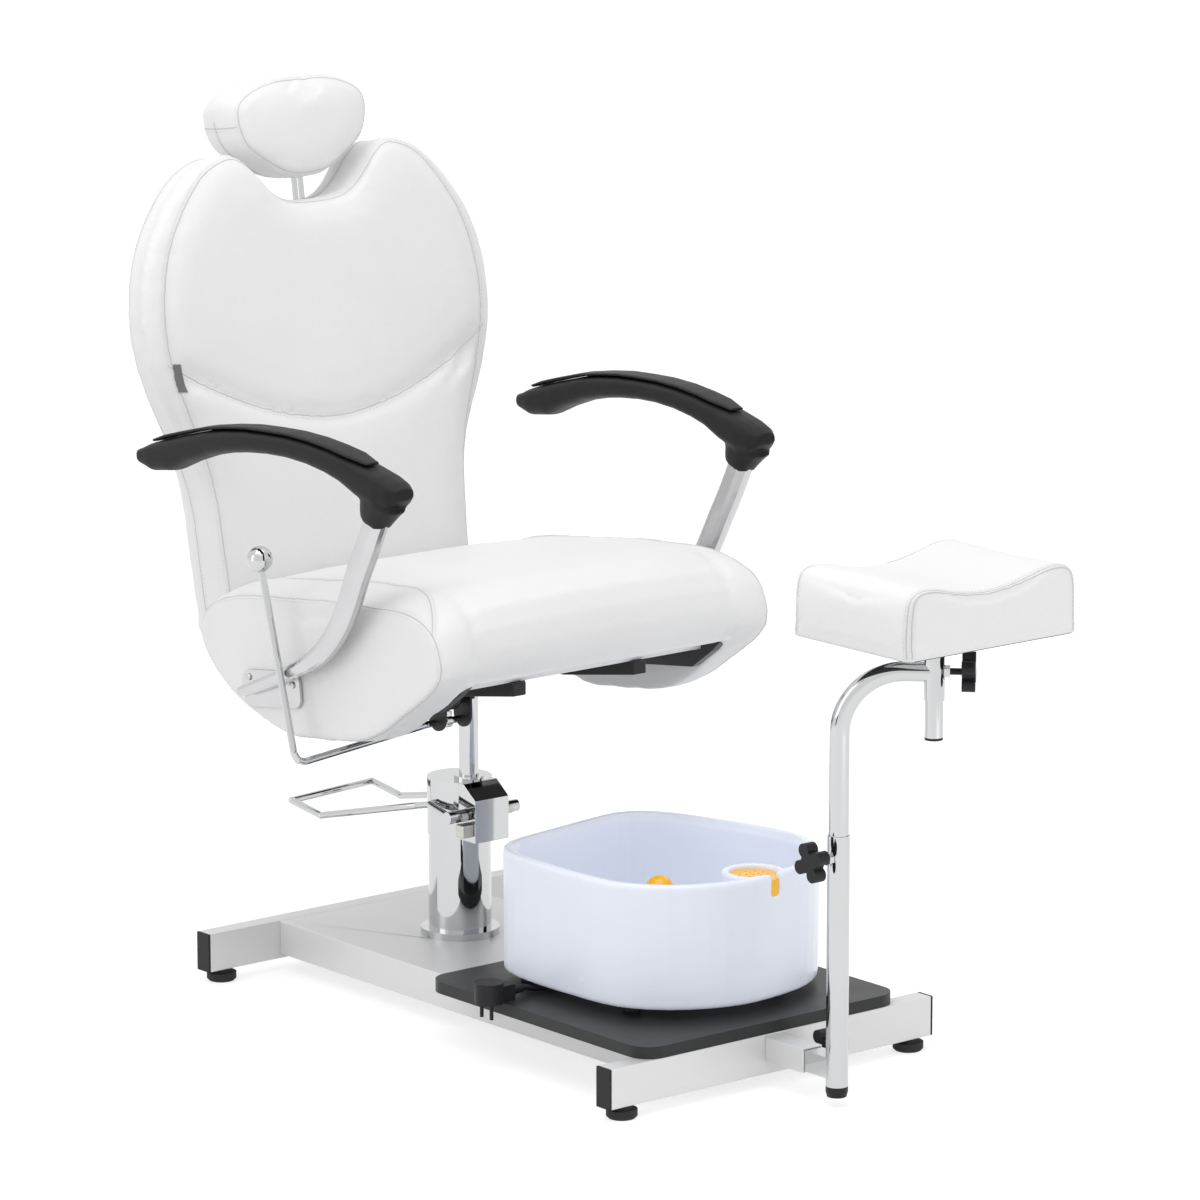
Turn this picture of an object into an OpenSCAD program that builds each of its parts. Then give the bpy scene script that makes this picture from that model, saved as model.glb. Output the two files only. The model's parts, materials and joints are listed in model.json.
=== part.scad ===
// Hydraulic pedicure chair: base with a foot basin, swivel seat, reclining back and swing-out leg rest.
// Millimetres. +Z is up, the sitter faces -Y, +X is the sitter's left, and the floor is z = 0.

/* [Base] */
// Length of each cross tube
tube_l = 510; // [440:1:620]
// Height of the cross tube section
tube_h = 50; // [46:1:60]
// Width of the cross tube section
tube_w = 26; // [24:1:40]
// Wall of the steel tubes
tube_wall = 2; // [1.5:0.1:3]
// Back face of the rear tube behind the pump axis
rear_reach = 216; // [190:1:260]
// Front face of the front tube ahead of the pump axis
front_reach = 611; // [590:1:640]
// Width of the pressed platform
platform_w = 290; // [240:1:340]
// Depth of the platform's side flanges
platform_h = 44; // [30:1:46]
// Thickness of the platform sheet
sheet_t = 3; // [2:0.5:4]
// Height of the rubber feet
foot_h = 16; // [14:1:22]
// Diameter of the rubber feet
foot_d = 38; // [28:1:42]
// Distance from a foot's centre to its tube end
foot_inset = 26; // [22:1:60]

/* [Pump] */
// Outer diameter of the pump cylinder
pump_d = 80; // [76:1:84]
// Wall of the pump cylinder
pump_wall = 3; // [2:0.5:5]
// Height of the cylinder from the platform to its head
cylinder_h = 132; // [125:1:140]
// Diameter of the flange on the platform
flange_d = 101; // [98:1:120]
// Height of that flange
flange_h = 9; // [6:1:14]
// Diameter of the pump head
head_d = 83; // [82:1:89]
// Height of the pump head
head_h = 73; // [70:1:80]
// Diameter of the lifting rod
rod_d = 25; // [22:1:28]
// Height of the mounting channel above the pump head as shown
rod_out = 133; // [125:1:143]
// How far the rod can still rise
rise_travel = 35; // [20:1:38]
// How far the rod can sink
sink_travel = 85; // [60:1:88]

/* [Seat] */
// Width of the seat cushion between the side bolsters
cushion_w = 416; // [400:1:440]
// Thickness of each side bolster
bolster_t = 59; // [50:1:70]
// Length of a side bolster from front to back
bolster_l = 499; // [480:1:510]
// Height of a side bolster
bolster_h = 196; // [180:1:204]
// Height of the seat cushion at its side seam
cushion_h = 112; // [100:1:120]
// Extra height of the crown in the middle of the seat
seat_crown = 6; // [4:1:20]
// Thickness of the seat board
board_t = 15; // [9:1:18]
// Height of the steel frame under the seat board
frame_h = 40; // [36:1:44]

/* [Armrests] */
// Width of the flat-oval arm tube
arm_tube_w = 36; // [32:1:38]
// Thickness of the flat-oval arm tube
arm_tube_t = 22; // [18:1:24]
// Width of an arm pad
armpad_w = 52; // [46:1:58]
// Thickness of an arm pad
armpad_h = 32; // [28:1:36]

/* [Backrest] */
// Lean of the backrest from upright, in degrees
back_lean = 8.5; // [4:0.5:12]
// Width of the backrest at its widest
back_w = 520; // [480:1:540]
// Length of the backrest from its lower edge to its shoulders
back_l = 623; // [600:1:640]
// Thickness of the front foam of the backrest
back_foam = 40; // [36:1:46]
// Thickness of the rear cover of the backrest
back_cover = 30; // [20:1:34]
// Height of the crown on the backrest's face
back_crown = 13; // [6:1:18]
// Greatest recline from the upright pose, in degrees
recline_max = 45; // [30:1:50]

/* [Headrest] */
// Width of the headrest
headrest_w = 210; // [190:1:230]
// Height of the headrest
headrest_l = 128; // [110:1:140]
// Thickness of the headrest
headrest_t = 96; // [80:1:100]

/* [Leg rest] */
// Outer diameter of the fixed post
post_d = 27; // [26:1:32]
// Outer diameter of the sliding tube in the post
inner_post_d = 24; // [22:0.5:24.5]
// Outer diameter of the sleeve under the leg pad
sleeve_d = 25; // [24:0.5:28]
// Diameter of the pad's stem
stem_d = 22; // [20:0.5:22.5]
// Height of the top of the fixed post
post_top = 333; // [300:1:360]
// Distance of the post ahead of the base
post_out = 113; // [99:1:129]
// Height of the arm's level stretch
arm_z = 533; // [520:1:545]
// Distance from the post to the pad's sleeve
arm_reach = 111; // [108:1:130]
// Turn of the arm from the sitter's left towards the front, in degrees
arm_turn = 45; // [30:1:60]
// Width of the leg pad
pad_w = 270; // [240:1:290]
// Depth of the leg pad
pad_l = 205; // [180:1:220]
// Height of the leg pad at its higher hump
pad_h = 86; // [76:1:96]

/* [Foot basin] */
// Side of the black board under the basin, across the chair
spa_board_w = 408; // [380:1:440]
// Side of that board along the chair
spa_board_l = 422; // [410:1:430]
// Thickness of that board
spa_board_t = 15; // [12:1:18]
// Width of the basin
basin_w = 346; // [330:1:360]
// Length of the basin
basin_l = 362; // [350:1:372]
// Height of the basin
basin_h = 155; // [140:1:165]
// Turn of the basin on its board, in degrees
basin_turn = 9; // [0:1:12]

/* [Cord] */
// Diameter of the mains cord
cord_d = 6.5; // [6:0.1:6.6]
// Turns in each of the two layers of the stored coil
coil_turns = 2.5; // [1.5:1:3.5]
// Inner radius of the coil
coil_r = 27; // [26:1:30]

/* [Hidden] */

// The pump axis stands this far behind the middle of the whole chair.
pump_set = 245;
// Radial clearance of a running fit, a gap between soft pieces, and an overrun for cuts
run_gap = 0.05;
soft_gap = 0.3;
cut = 1;
// Facets of small, ordinary and large round pieces
small_fn = 24;
round_fn = 48;
big_fn = 96;

// Colours
steel_grey = [0.86, 0.86, 0.86];
chrome_grey = [0.78, 0.79, 0.8];
black = [0.1, 0.1, 0.1];
white = [0.95, 0.95, 0.95];
basin_white = [0.87, 0.89, 0.96];
orange = [0.98, 0.68, 0.15];
wood = [0.72, 0.58, 0.4];

// Heights that the pieces share
top_z = foot_h + tube_h;
head_z = top_z + cylinder_h;
head_top = head_z + head_h;
mount_z = head_top + rod_out;
mount_t = 3;
frame_z = mount_z + mount_t;
seat_board_z = frame_z + frame_h;
cushion_z = seat_board_z + board_t;
spa_z = top_z + spa_board_t;
rear_tube_y = rear_reach - tube_w / 2;
front_tube_y = tube_w / 2 - front_reach;

// Small helpers

function unit(v) = v / norm(v);
function mirrored(half) = concat(half, [for (i = [len(half) - 1:-1:0]) if (abs(half[i][0]) > 0) [-half[i][0], half[i][1]]]);
function blend_point(a, b, c, d, t) = 0.5 * (2 * b + (c - a) * t + (2 * a - 5 * b + 4 * c - d) * t * t
  + (3 * b - a - 3 * c + d) * t * t * t);
function closed_curve(p, steps) = let (m = len(p))
  [for (i = [0:m - 1]) for (k = [0:steps - 1])
    blend_point(p[(i + m - 1) % m], p[i], p[(i + 1) % m], p[(i + 2) % m], k / steps)];
function open_curve(p, steps) = let (m = len(p))
  concat([for (i = [0:m - 2]) for (k = [0:steps - 1])
    blend_point(p[max(i - 1, 0)], p[i], p[i + 1], p[min(i + 2, m - 1)], k / steps)], [p[m - 1]]);
function scaled_about(p, c, s) = [for (q = p) c + (q - c) * s];
function tangent(path, i) = unit(path[min(i + 1, len(path) - 1)] - path[max(i - 1, 0)]);
function ring_at(c, t, side, pts) = let (n = unit(side - (side * t) * t), b = cross(t, n))
  [for (p = pts) c + p[0] * n + p[1] * b];
function oval(a, b, sides, fullness = 2) = [for (k = [0:sides - 1])
  let (w = 360 * (k + 0.5) / sides, cx = cos(w), sx = sin(w))
    [a * sign(cx) * pow(abs(cx), 2 / fullness), b * sign(sx) * pow(abs(sx), 2 / fullness)]];

// Closed solid through a stack of rings that all have the same number of points
module skin(rings) {
  k = len(rings[0]);
  m = len(rings);
  polyhedron(points = [for (r = rings) each r], convexity = 8,
    faces = concat([[for (j = [0:k - 1]) j], [for (j = [k - 1:-1:0]) (m - 1) * k + j]],
      [for (i = [0:m - 2]) for (j = [0:k - 1]) each let (a = i * k + j, b = i * k + (j + 1) % k)
        [[a, a + k, b + k], [a, b + k, b]]]));
}

// Solid that stacks a flat outline at [scale, height] layers
module padded(outline, centre, layers) {
  skin([for (l = layers) [for (q = scaled_about(outline, centre, l[0])) [q[0], q[1], l[1]]]]);
}

// The same for the backrest, with [scale, height, share of the side bulge] layers
module padded_back(layers) {
  skin([for (l = layers) [for (q = scaled_about(back_outline(l[2]), back_mid, l[0])) [q[0], q[1], l[1]]]]);
}

// Tube of constant round section along a path
module swept(path, r, sides, side) {
  skin([for (i = [0:len(path) - 1]) ring_at(path[i], tangent(path, i), side, oval(r, r, sides))]);
}

// Bent rod of straight runs with ball corners
ball_more = 0.1;
module bent_rod(points, r) {
  for (i = [0:len(points) - 2]) {
    run = points[i + 1] - points[i];
    translate(points[i])
      rotate([0, acos(run[2] / norm(run)), atan2(run[1], run[0])])
        cylinder(h = norm(run), r = r, $fn = small_fn);
  }
  for (i = [1:len(points) - 2])
    translate(points[i])
      sphere(r = r + ball_more, $fn = small_fn);
}

// Rounded rectangle, flat, centred
module rounded_flat(w, l, r) {
  square([w - 2 * r, l], center = true);
  square([w, l - 2 * r], center = true);
  for (sx = [-1, 1], sy = [-1, 1])
    translate([sx * (w / 2 - r), sy * (l / 2 - r)])
      circle(r = r, $fn = round_fn);
}

// Round bar along X, centred
module x_bar(d, l, fn = round_fn) {
  rotate([0, 90, 0])
    cylinder(h = l, d = d, center = true, $fn = fn);
}

// Both sides of the chair
module both_sides() {
  children();
  mirror([1, 0, 0])
    children();
}

// The whole chair stands back so that its box is centred
module chair() {
  translate([0, pump_set, 0])
    children();
}

// Base frame

cap_t = 3;
cap_spigot = 12;
cap_fit = 0.2;
// The receiver lies under the platform sheet and passes through the front tube.
receiver_s = 30;
receiver_out = 69;
receiver_in = 45;
receiver_z = top_z - sheet_t - receiver_s / 2;
receiver_front = front_reach + receiver_out;
receiver_back = front_reach - tube_w - receiver_in;
bar_s = receiver_s - 2 * tube_wall - 2 * run_gap;

module cross_tube(y, window = false) {
  color(steel_grey)
    translate([0, y, foot_h + tube_h / 2])
      difference() {
        cube([tube_l, tube_w, tube_h], center = true);
        cube([tube_l + 2 * cut, tube_w - 2 * tube_wall, tube_h - 2 * tube_wall], center = true);
        if (window)
          translate([0, 0, receiver_z - foot_h - tube_h / 2])
            cube([receiver_s, tube_w + 2 * cut, receiver_s], center = true);
      }
}

module rear_cross_tube() {
  cross_tube(rear_tube_y);
}

module front_cross_tube() {
  cross_tube(front_tube_y, true);
}

module tube_end_caps() {
  color(black)
    both_sides()
      for (y = [rear_tube_y, front_tube_y])
        translate([tube_l / 2, y, foot_h + tube_h / 2]) {
          translate([cap_t / 2, 0, 0])
            cube([cap_t, tube_w, tube_h], center = true);
          translate([-cap_spigot / 2, 0, 0])
            cube([cap_spigot, tube_w - 2 * tube_wall - 2 * cap_fit,
              tube_h - 2 * tube_wall - 2 * cap_fit], center = true);
        }
}

foot_neck_h = 5;
foot_neck_d = foot_d - 12;
foot_edge = 3;

module rubber_feet() {
  color(black)
    both_sides()
      for (y = [rear_tube_y, front_tube_y])
        translate([tube_l / 2 - foot_inset, y, 0])
          rotate_extrude($fn = round_fn)
            polygon([[0, 0], [foot_d / 2 - foot_edge, 0], [foot_d / 2, foot_edge],
              [foot_d / 2, foot_h - foot_neck_h], [foot_neck_d / 2, foot_h - foot_neck_h],
              [foot_neck_d / 2, foot_h], [0, foot_h]]);
}

module base_platform() {
  back = rear_reach - tube_w;
  front = front_reach - tube_w;
  color(steel_grey)
    translate([0, (back - front) / 2, top_z - platform_h / 2])
      difference() {
        cube([platform_w, back + front, platform_h], center = true);
        translate([0, 0, -sheet_t])
          cube([platform_w - 2 * sheet_t, back + front + 2 * cut, platform_h], center = true);
        for (a = bolt_angles)
          translate([bolt_ring * cos(a), bolt_ring * sin(a) - (back - front) / 2, 0])
            cylinder(h = platform_h + cut, d = base_bolt_d + 2 * run_gap, $fn = small_fn);
      }
}

clamp_bolt_d = 8;
clamp_nut_d = 15;
clamp_nut_h = 7;
bar_clamp_out = 45.5;
bar_clamp_y = -(front_reach + bar_clamp_out);

module footrest_receiver() {
  color(steel_grey)
    difference() {
      union() {
        translate([0, -(receiver_front + receiver_back) / 2, receiver_z])
          cube([receiver_s, receiver_front - receiver_back, receiver_s], center = true);
        translate([receiver_s / 2 + clamp_nut_h / 2 - cap_fit, bar_clamp_y, receiver_z])
          x_bar(clamp_nut_d, clamp_nut_h + cap_fit, 6);
      }
      translate([0, -(receiver_front + receiver_back) / 2, receiver_z])
        cube([receiver_s - 2 * tube_wall, receiver_front - receiver_back + 2 * cut,
          receiver_s - 2 * tube_wall], center = true);
      translate([receiver_s / 2 + clamp_nut_h / 2, bar_clamp_y, receiver_z])
        x_bar(clamp_bolt_d + 2 * run_gap, 2 * (clamp_nut_h + tube_wall), small_fn);
    }
}

// Hydraulic pump

base_bolt_d = 6;
base_bolt_head_d = 10;
base_bolt_head_h = 4;
bolt_angles = [45, 135, 225, 315];
bolt_ring = (pump_d + flange_d) / 4;
bolt_reach = flange_h * 0.6;
cylinder_floor = 6;
head_cavity = 24;
collar_d = 38;
collar_h = 5;
piston_h = 15;
rod_hold = 106;
// The rod stands ahead of the middle of the pump.
rod_y = -19;
// The pedal axle crosses the housing ahead of the head.
axle_y = -45;
axle_z = head_z + 34;
axle_d = 12;
axle_half = 54;
housing_w = 54;
housing_y = -66;
housing_bevel_y = -42;
housing_bevel_z = 18;
housing_wall = 2.5;
head_relief = 10;

module pump_flange() {
  color(chrome_grey)
    translate([0, 0, top_z])
      difference() {
        cylinder(h = flange_h, d = flange_d, $fn = big_fn);
        translate([0, 0, -cut])
          cylinder(h = flange_h + 2 * cut, d = pump_d + 2 * run_gap, $fn = big_fn);
        for (a = bolt_angles)
          translate([bolt_ring * cos(a), bolt_ring * sin(a), -cut])
            cylinder(h = cut + bolt_reach, d = base_bolt_d + 2 * run_gap, $fn = small_fn);
      }
}

module base_bolts() {
  color(chrome_grey)
    for (a = bolt_angles)
      translate([bolt_ring * cos(a), bolt_ring * sin(a), top_z - sheet_t]) {
        cylinder(h = sheet_t + bolt_reach - run_gap, d = base_bolt_d, $fn = small_fn);
        translate([0, 0, -base_bolt_head_h])
          cylinder(h = base_bolt_head_h, d = base_bolt_head_d, $fn = 6);
      }
}

module pump_cylinder() {
  color(chrome_grey)
    translate([0, 0, top_z])
      difference() {
        cylinder(h = cylinder_h, d = pump_d, $fn = big_fn);
        translate([0, 0, cylinder_floor])
          cylinder(h = cylinder_h, d = pump_d - 2 * pump_wall, $fn = big_fn);
      }
}

module pump_head() {
  color(chrome_grey)
    difference() {
      union() {
        translate([0, 0, head_z])
          cylinder(h = head_h, d = head_d, $fn = big_fn);
        translate([0, rod_y, head_top])
          cylinder(h = collar_h, d = collar_d, $fn = round_fn);
      }
      translate([0, 0, head_z - cut])
        cylinder(h = head_cavity + cut, d = pump_d - 2 * pump_wall, $fn = big_fn);
      translate([0, rod_y, head_z])
        cylinder(h = head_h + collar_h + cut, d = rod_d + 2 * run_gap, $fn = round_fn);
      translate([0, axle_y, axle_z])
        x_bar(axle_d + head_relief, head_d);
    }
}

module pump_housing() {
  color(chrome_grey)
    difference() {
      rotate([90, 0, 90])
        linear_extrude(height = housing_w, center = true)
          polygon([[housing_y, head_z], [housing_y, head_top - housing_bevel_z],
            [housing_bevel_y, head_top], [0, head_top], [0, head_z]]);
      translate([0, 0, head_z - cut])
        cylinder(h = head_h + 2 * cut, d = head_d + 2 * run_gap, $fn = big_fn);
      translate([0, (housing_y + housing_wall) / 2, head_z + (head_h - housing_bevel_z) / 2])
        cube([housing_w - 2 * housing_wall, -housing_y - housing_wall,
          head_h - housing_bevel_z - 2 * housing_wall], center = true);
      translate([0, axle_y, axle_z])
        x_bar(axle_d + 2 * run_gap, housing_w + 2 * cut);
    }
}

stop_s = 16;
stop_y = -54;

module pedal_stop() {
  color(black)
    translate([-(housing_w + stop_s) / 2, stop_y, axle_z - clevis_d / 2 - clevis_clear - stop_s / 2])
      cube([stop_s, stop_s, stop_s], center = true);
}

// Pump pedal

clevis_d = 16;
clevis_clear = 1.5;
clevis_in = housing_w / 2 + clevis_clear;
clevis_out = axle_half + 2;
pedal_rod_d = 9;
pedal_leg_x = 50;
pedal_hump = [-2, 9];
pedal_knee = [24, 3];
pedal_turn = 7.5;
pedal_half = 73;
pedal_near = [177, -30];
pedal_far = [230, -19];
pedal_bolt_d = 6;
pedal_bolt_head_d = 11;
pedal_bolt_head_h = 5;
pedal_bolt_x = (clevis_in + clevis_out) / 2 - 6;

function turned(p, a) = [p[0] * cos(a) - p[1] * sin(a), p[0] * sin(a) + p[1] * cos(a), p[2]];
function pedal_loop_point(side, p) = turned([side * pedal_half, p[0], axle_z + p[1]], pedal_turn);
function pedal_leg(side) = [[side * pedal_leg_x, axle_y, axle_z],
  [side * pedal_leg_x, pedal_hump[0], axle_z + pedal_hump[1]],
  [side * pedal_leg_x, pedal_knee[0], axle_z + pedal_knee[1]],
  pedal_loop_point(side, pedal_near), pedal_loop_point(side, pedal_far)];

module pump_pedal() {
  far_leg = pedal_leg(1);
  color(chrome_grey)
    difference() {
      union() {
        translate([0, axle_y, axle_z])
          x_bar(axle_d, 2 * axle_half);
        both_sides()
          translate([(clevis_in + clevis_out) / 2, axle_y, axle_z])
            x_bar(clevis_d, clevis_out - clevis_in);
        bent_rod(concat(pedal_leg(-1), [for (i = [len(far_leg) - 1:-1:0]) far_leg[i]]),
          pedal_rod_d / 2);
      }
      both_sides()
        translate([pedal_bolt_x, axle_y, axle_z])
          rotate([90, 0, 0])
            cylinder(h = clevis_d, d = pedal_bolt_d + 2 * run_gap, $fn = small_fn);
    }
}

module pedal_bolts() {
  color(chrome_grey)
    both_sides()
      translate([pedal_bolt_x, axle_y, axle_z])
        rotate([90, 0, 0]) {
          translate([0, 0, run_gap])
            cylinder(h = clevis_d / 2, d = pedal_bolt_d, $fn = small_fn);
          translate([0, 0, clevis_d / 2 + run_gap])
            cylinder(h = pedal_bolt_head_h, d = pedal_bolt_head_d, $fn = 6);
        }
}

// Lifting rod, mounting plate and seat frame

boss_d = 40;
boss_down = 12;
boss_up = 33;
boss_roof = 3;
channel_w = 84;
channel_l = 124;
channel_h = 20;
channel_tip_h = 13;
mount_bolt_d = 8;
mount_bolt_head_d = 13;
mount_bolt_head_h = 5;
mount_bolt_x = 28;
rail_x = 96;
rail_w = 20;
rail_wall = 2.5;
rail_front = 242;
rail_tip_h = 16;
rail_taper = 140;
seat_back = 200;
cross_w = 25;
panel_t = 11;
cross_half = cushion_w / 2 - panel_t;
cross_y = 45;

module piston_rod() {
  color(chrome_grey) {
    translate([0, rod_y, head_top - rod_hold])
      cylinder(h = rod_hold + rod_out + mount_t + boss_up - boss_roof, d = rod_d, $fn = round_fn);
    translate([0, 0, head_top - rod_hold])
      cylinder(h = piston_h, d = pump_d - 2 * pump_wall - 2 * run_gap, $fn = big_fn);
  }
}

module bolt_places() {
  for (sx = [-1, 1], sy = [-1, 1])
    translate([sx * mount_bolt_x, rod_y + sy * cross_y, 0])
      children();
}

module seat_mount_channel() {
  color(black)
    difference() {
      translate([0, rod_y, 0]) {
        translate([-channel_w / 2, -channel_l / 2, mount_z])
          cube([channel_w, channel_l, mount_t]);
        for (x = [-channel_w / 2, channel_w / 2 - mount_t])
          translate([x, 0, mount_z + mount_t])
            rotate([90, 0, 90])
              linear_extrude(height = mount_t)
                polygon([[-channel_l / 2, 0], [-channel_l / 2, -channel_tip_h - mount_t],
                  [0, -channel_h - mount_t], [channel_l / 2, -channel_tip_h - mount_t],
                  [channel_l / 2, 0]]);
        translate([0, 0, mount_z - boss_down])
          cylinder(h = boss_down + mount_t + boss_up, d = boss_d, $fn = round_fn);
      }
      translate([0, rod_y, mount_z - boss_down - cut])
        cylinder(h = boss_down + mount_t + boss_up - boss_roof + cut, d = rod_d + 2 * run_gap,
          $fn = round_fn);
      bolt_places()
        translate([0, 0, mount_z - cut])
          cylinder(h = mount_t + 2 * cut, d = mount_bolt_d + 2 * run_gap, $fn = small_fn);
    }
}

module mount_bolts() {
  color(chrome_grey)
    bolt_places()
      translate([0, 0, mount_z]) {
        translate([0, 0, -mount_bolt_head_h])
          cylinder(h = mount_bolt_head_h, d = mount_bolt_head_d, $fn = 6);
        cylinder(h = mount_t + rail_wall + mount_bolt_head_h, d = mount_bolt_d, $fn = small_fn);
      }
}

module cross_rail(y, half) {
  translate([0, y, frame_z + frame_h / 2])
    difference() {
      cube([2 * half, cross_w, frame_h], center = true);
      cube([2 * half + 2 * cut, cross_w - 2 * rail_wall, frame_h - 2 * rail_wall], center = true);
    }
}

module long_rail() {
  translate([rail_x, 0, frame_z])
    difference() {
      rotate([90, 0, 90])
        linear_extrude(height = rail_w, center = true)
          polygon([[seat_back - cross_w, 0], [seat_back - cross_w, frame_h], [-rail_front, frame_h],
            [-rail_front, frame_h - rail_tip_h], [rail_taper - rail_front, 0]]);
      translate([0, 0, -rail_wall])
        cube([rail_w - 2 * rail_wall, 2 * (rail_front - rail_wall), 2 * frame_h - 2 * rail_wall],
          center = true);
    }
}

module seat_frame() {
  color(black)
    difference() {
      union() {
        cross_rail(rod_y - cross_y, cross_half);
        cross_rail(rod_y + cross_y, rail_x);
        cross_rail(seat_back - cross_w / 2, cross_half);
        both_sides() {
          long_rail();
          hinge_plate();
        }
      }
      bolt_places()
        translate([0, 0, frame_z - cut])
          cylinder(h = rail_wall + 2 * cut, d = mount_bolt_d + 2 * run_gap, $fn = small_fn);
      translate([0, hinge_y, hinge_z])
        x_bar(hinge_bolt_d + 2 * run_gap, 2 * cross_half);
    }
}

// Seat board, cushion and side bolsters

// The bolster's lowest point stands this far under the seat board.
bolster_drop = 88;
bolster_front = -301;
bolster_gap = 0.5;
bolster_out = cushion_w / 2 + bolster_gap + bolster_t;
// Outline of a bolster, as shares of its length and height, from the rear top round the front
bolster_outline_shares = [[1, 0.46], [0.995, 0.63], [0.946, 0.745], [0.836, 0.837], [0.671, 0.898],
  [0.405, 0.974], [0.291, 0.99], [0.144, 1], [0.05, 0.934], [0.008, 0.8], [0, 0.617], [0.06, 0.464],
  [0.146, 0.316], [0.234, 0.168], [0.339, 0.071], [0.533, 0.005], [0.641, 0], [0.804, 0.105],
  [0.925, 0.262]];
bolster_mid = [bolster_front + bolster_l / 2, seat_board_z - bolster_drop + bolster_h / 2];

function bolster_outline() = closed_curve([for (s = bolster_outline_shares)
  [bolster_front + s[0] * bolster_l, seat_board_z - bolster_drop + s[1] * bolster_h]], 2);

module seat_board() {
  color(wood)
    translate([0, (seat_back - rail_front) / 2 - board_inset, seat_board_z])
      linear_extrude(height = board_t - soft_gap)
        rounded_flat(cushion_w - 4 * soft_gap, seat_back + rail_front + 2 * board_inset,
          2 * board_t);
}

board_inset = -5;
// Side outline of the seat's top, as shares of the bolster length and of the cushion height
seat_top_shares = [[0.03, 0.02], [0.008, 0.2], [0.002, 0.4], [0.012, 0.62], [0.04, 0.84], [0.09, 0.96],
  [0.144, 1], [0.291, 0.98], [0.405, 0.945], [0.54, 0.86], [0.671, 0.77], [0.836, 0.63],
  [0.94, 0.5], [0.99, 0.42]];
seat_cushion_back = 203;
seat_slices_share = [-1, -0.985, -0.9, -0.6, -0.25, 0.25, 0.6, 0.9, 0.985, 1];
edge_pinch = 5;

function seat_slice(x) = let (half = cushion_w / 2 - soft_gap, edge = pow(abs(x) / half, 12),
    rise = seat_crown * (1 - pow(abs(x) / half, 3)))
  concat([[x, seat_cushion_back - edge_pinch * edge, cushion_z]],
    [for (s = seat_top_shares) [x, bolster_front + s[0] * bolster_l + edge_pinch * edge * (0.5 - s[0]),
      cushion_z + s[1] * cushion_h + rise * min(1, s[1] * 1.2) - edge_pinch * edge * s[1]]],
    [[x, seat_cushion_back - edge_pinch * edge, cushion_z + 0.4 * cushion_h]]);

module seat_cushion() {
  half = cushion_w / 2 - soft_gap;
  color(white)
    skin([for (s = seat_slices_share) let (ring = seat_slice(s * half))
      [for (i = [0:len(ring) - 1]) ring[len(ring) - 1 - i]]]);
}

bolster_rise = 38;
// Layers of a bolster as [share of its thickness, scale, share of the rise]
bolster_layers = [[0, 0.985, 1], [0.12, 1, 0.95], [0.45, 1.005, 0.68], [0.8, 1, 0.21],
  [0.93, 0.985, 0.05], [1, 0.95, 0]];

module side_bolsters() {
  color(white)
    both_sides()
      skin([for (l = bolster_layers) [for (q = scaled_about(bolster_outline(), bolster_mid, l[1]))
        [cushion_w / 2 + bolster_gap + l[0] * bolster_t, q[0],
          q[1] + l[2] * bolster_rise * max(0, (q[1] - bolster_mid[1]) / bolster_h)]]]);
}

// Corners of a bolster's inner panel, as shares of the bolster
panel_shares = [[0.122, 0.447], [0.122, 0.53], [0.05, 0.53], [0.08, 0.46], [0.155, 0.325], [0.39, 0.245],
  [0.6, 0.225], [0.8, 0.25], [0.9, 0.38], [0.95, 0.447]];

module bolster_panels() {
  color(black)
    both_sides()
      translate([cushion_w / 2 - panel_t, 0, 0])
        rotate([90, 0, 90])
          linear_extrude(height = panel_t + bolster_gap - soft_gap)
            polygon([for (s = panel_shares) [bolster_front + s[0] * bolster_l,
              seat_board_z - bolster_drop + s[1] * bolster_h]]);
}

// Armrests

plate_mid = [32, seat_board_z - 30];
plate_l = 118;
plate_w = 46;
plate_t = 4;
plate_r = 14;
plate_tilt = -8;
plate_screws = [[-45, 6], [45, 14]];
plate_in = bolster_out + soft_gap;
arm_screw_d = 5;
arm_screw_head_d = 9;
arm_screw_head_h = 3;
arm_x_low = plate_in + plate_t + arm_tube_t / 2 - 1;
arm_x_top = arm_x_low + 8;
// Path of the arm tube: [distance ahead of or behind the pump axis, height above the seat board,
// share of the full width]
arm_route = [[76, -39, 0.4], [40, -25, 0.44], [9, -12, 0.48], [-30, 5, 0.54], [-57, 17, 0.62],
  [-91, 38, 0.76], [-119, 65, 0.88], [-139, 91, 0.95], [-157, 123, 1], [-171, 151, 1], [-185, 176, 1],
  [-199, 203, 1], [-211, 227, 1]];
arm_tube_steps = 2;
arm_tube_sides = 14;
arm_wall = 1.8;

function arm_x(p) = arm_x_low + (arm_x_top - arm_x_low) * min(1, max(0, (p[1] + 40) / 200));
function arm_path() = open_curve([for (p = arm_route) [arm_x(p), p[0], seat_board_z + p[1]]], arm_tube_steps);
function arm_width(i) = let (a = arm_route[floor(i / arm_tube_steps)][2],
  b = arm_route[min(len(arm_route) - 1, ceil(i / arm_tube_steps))][2]) (a + b) / 2;

module arm_tube(grow) {
  path = arm_path();
  skin([for (i = [0:len(path) - 1]) ring_at(path[i], tangent(path, i), [1, 0, 0],
    oval(arm_tube_t / 2 + grow, arm_tube_w / 2 * arm_width(i) + grow, arm_tube_sides, 2.5))]);
}

module plate_screw_places() {
  for (p = plate_screws)
    translate([plate_in, plate_mid[0], plate_mid[1]])
      rotate([plate_tilt, 0, 0])
        translate([0, p[0], p[1]])
          rotate([0, 90, 0])
            children();
}

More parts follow.
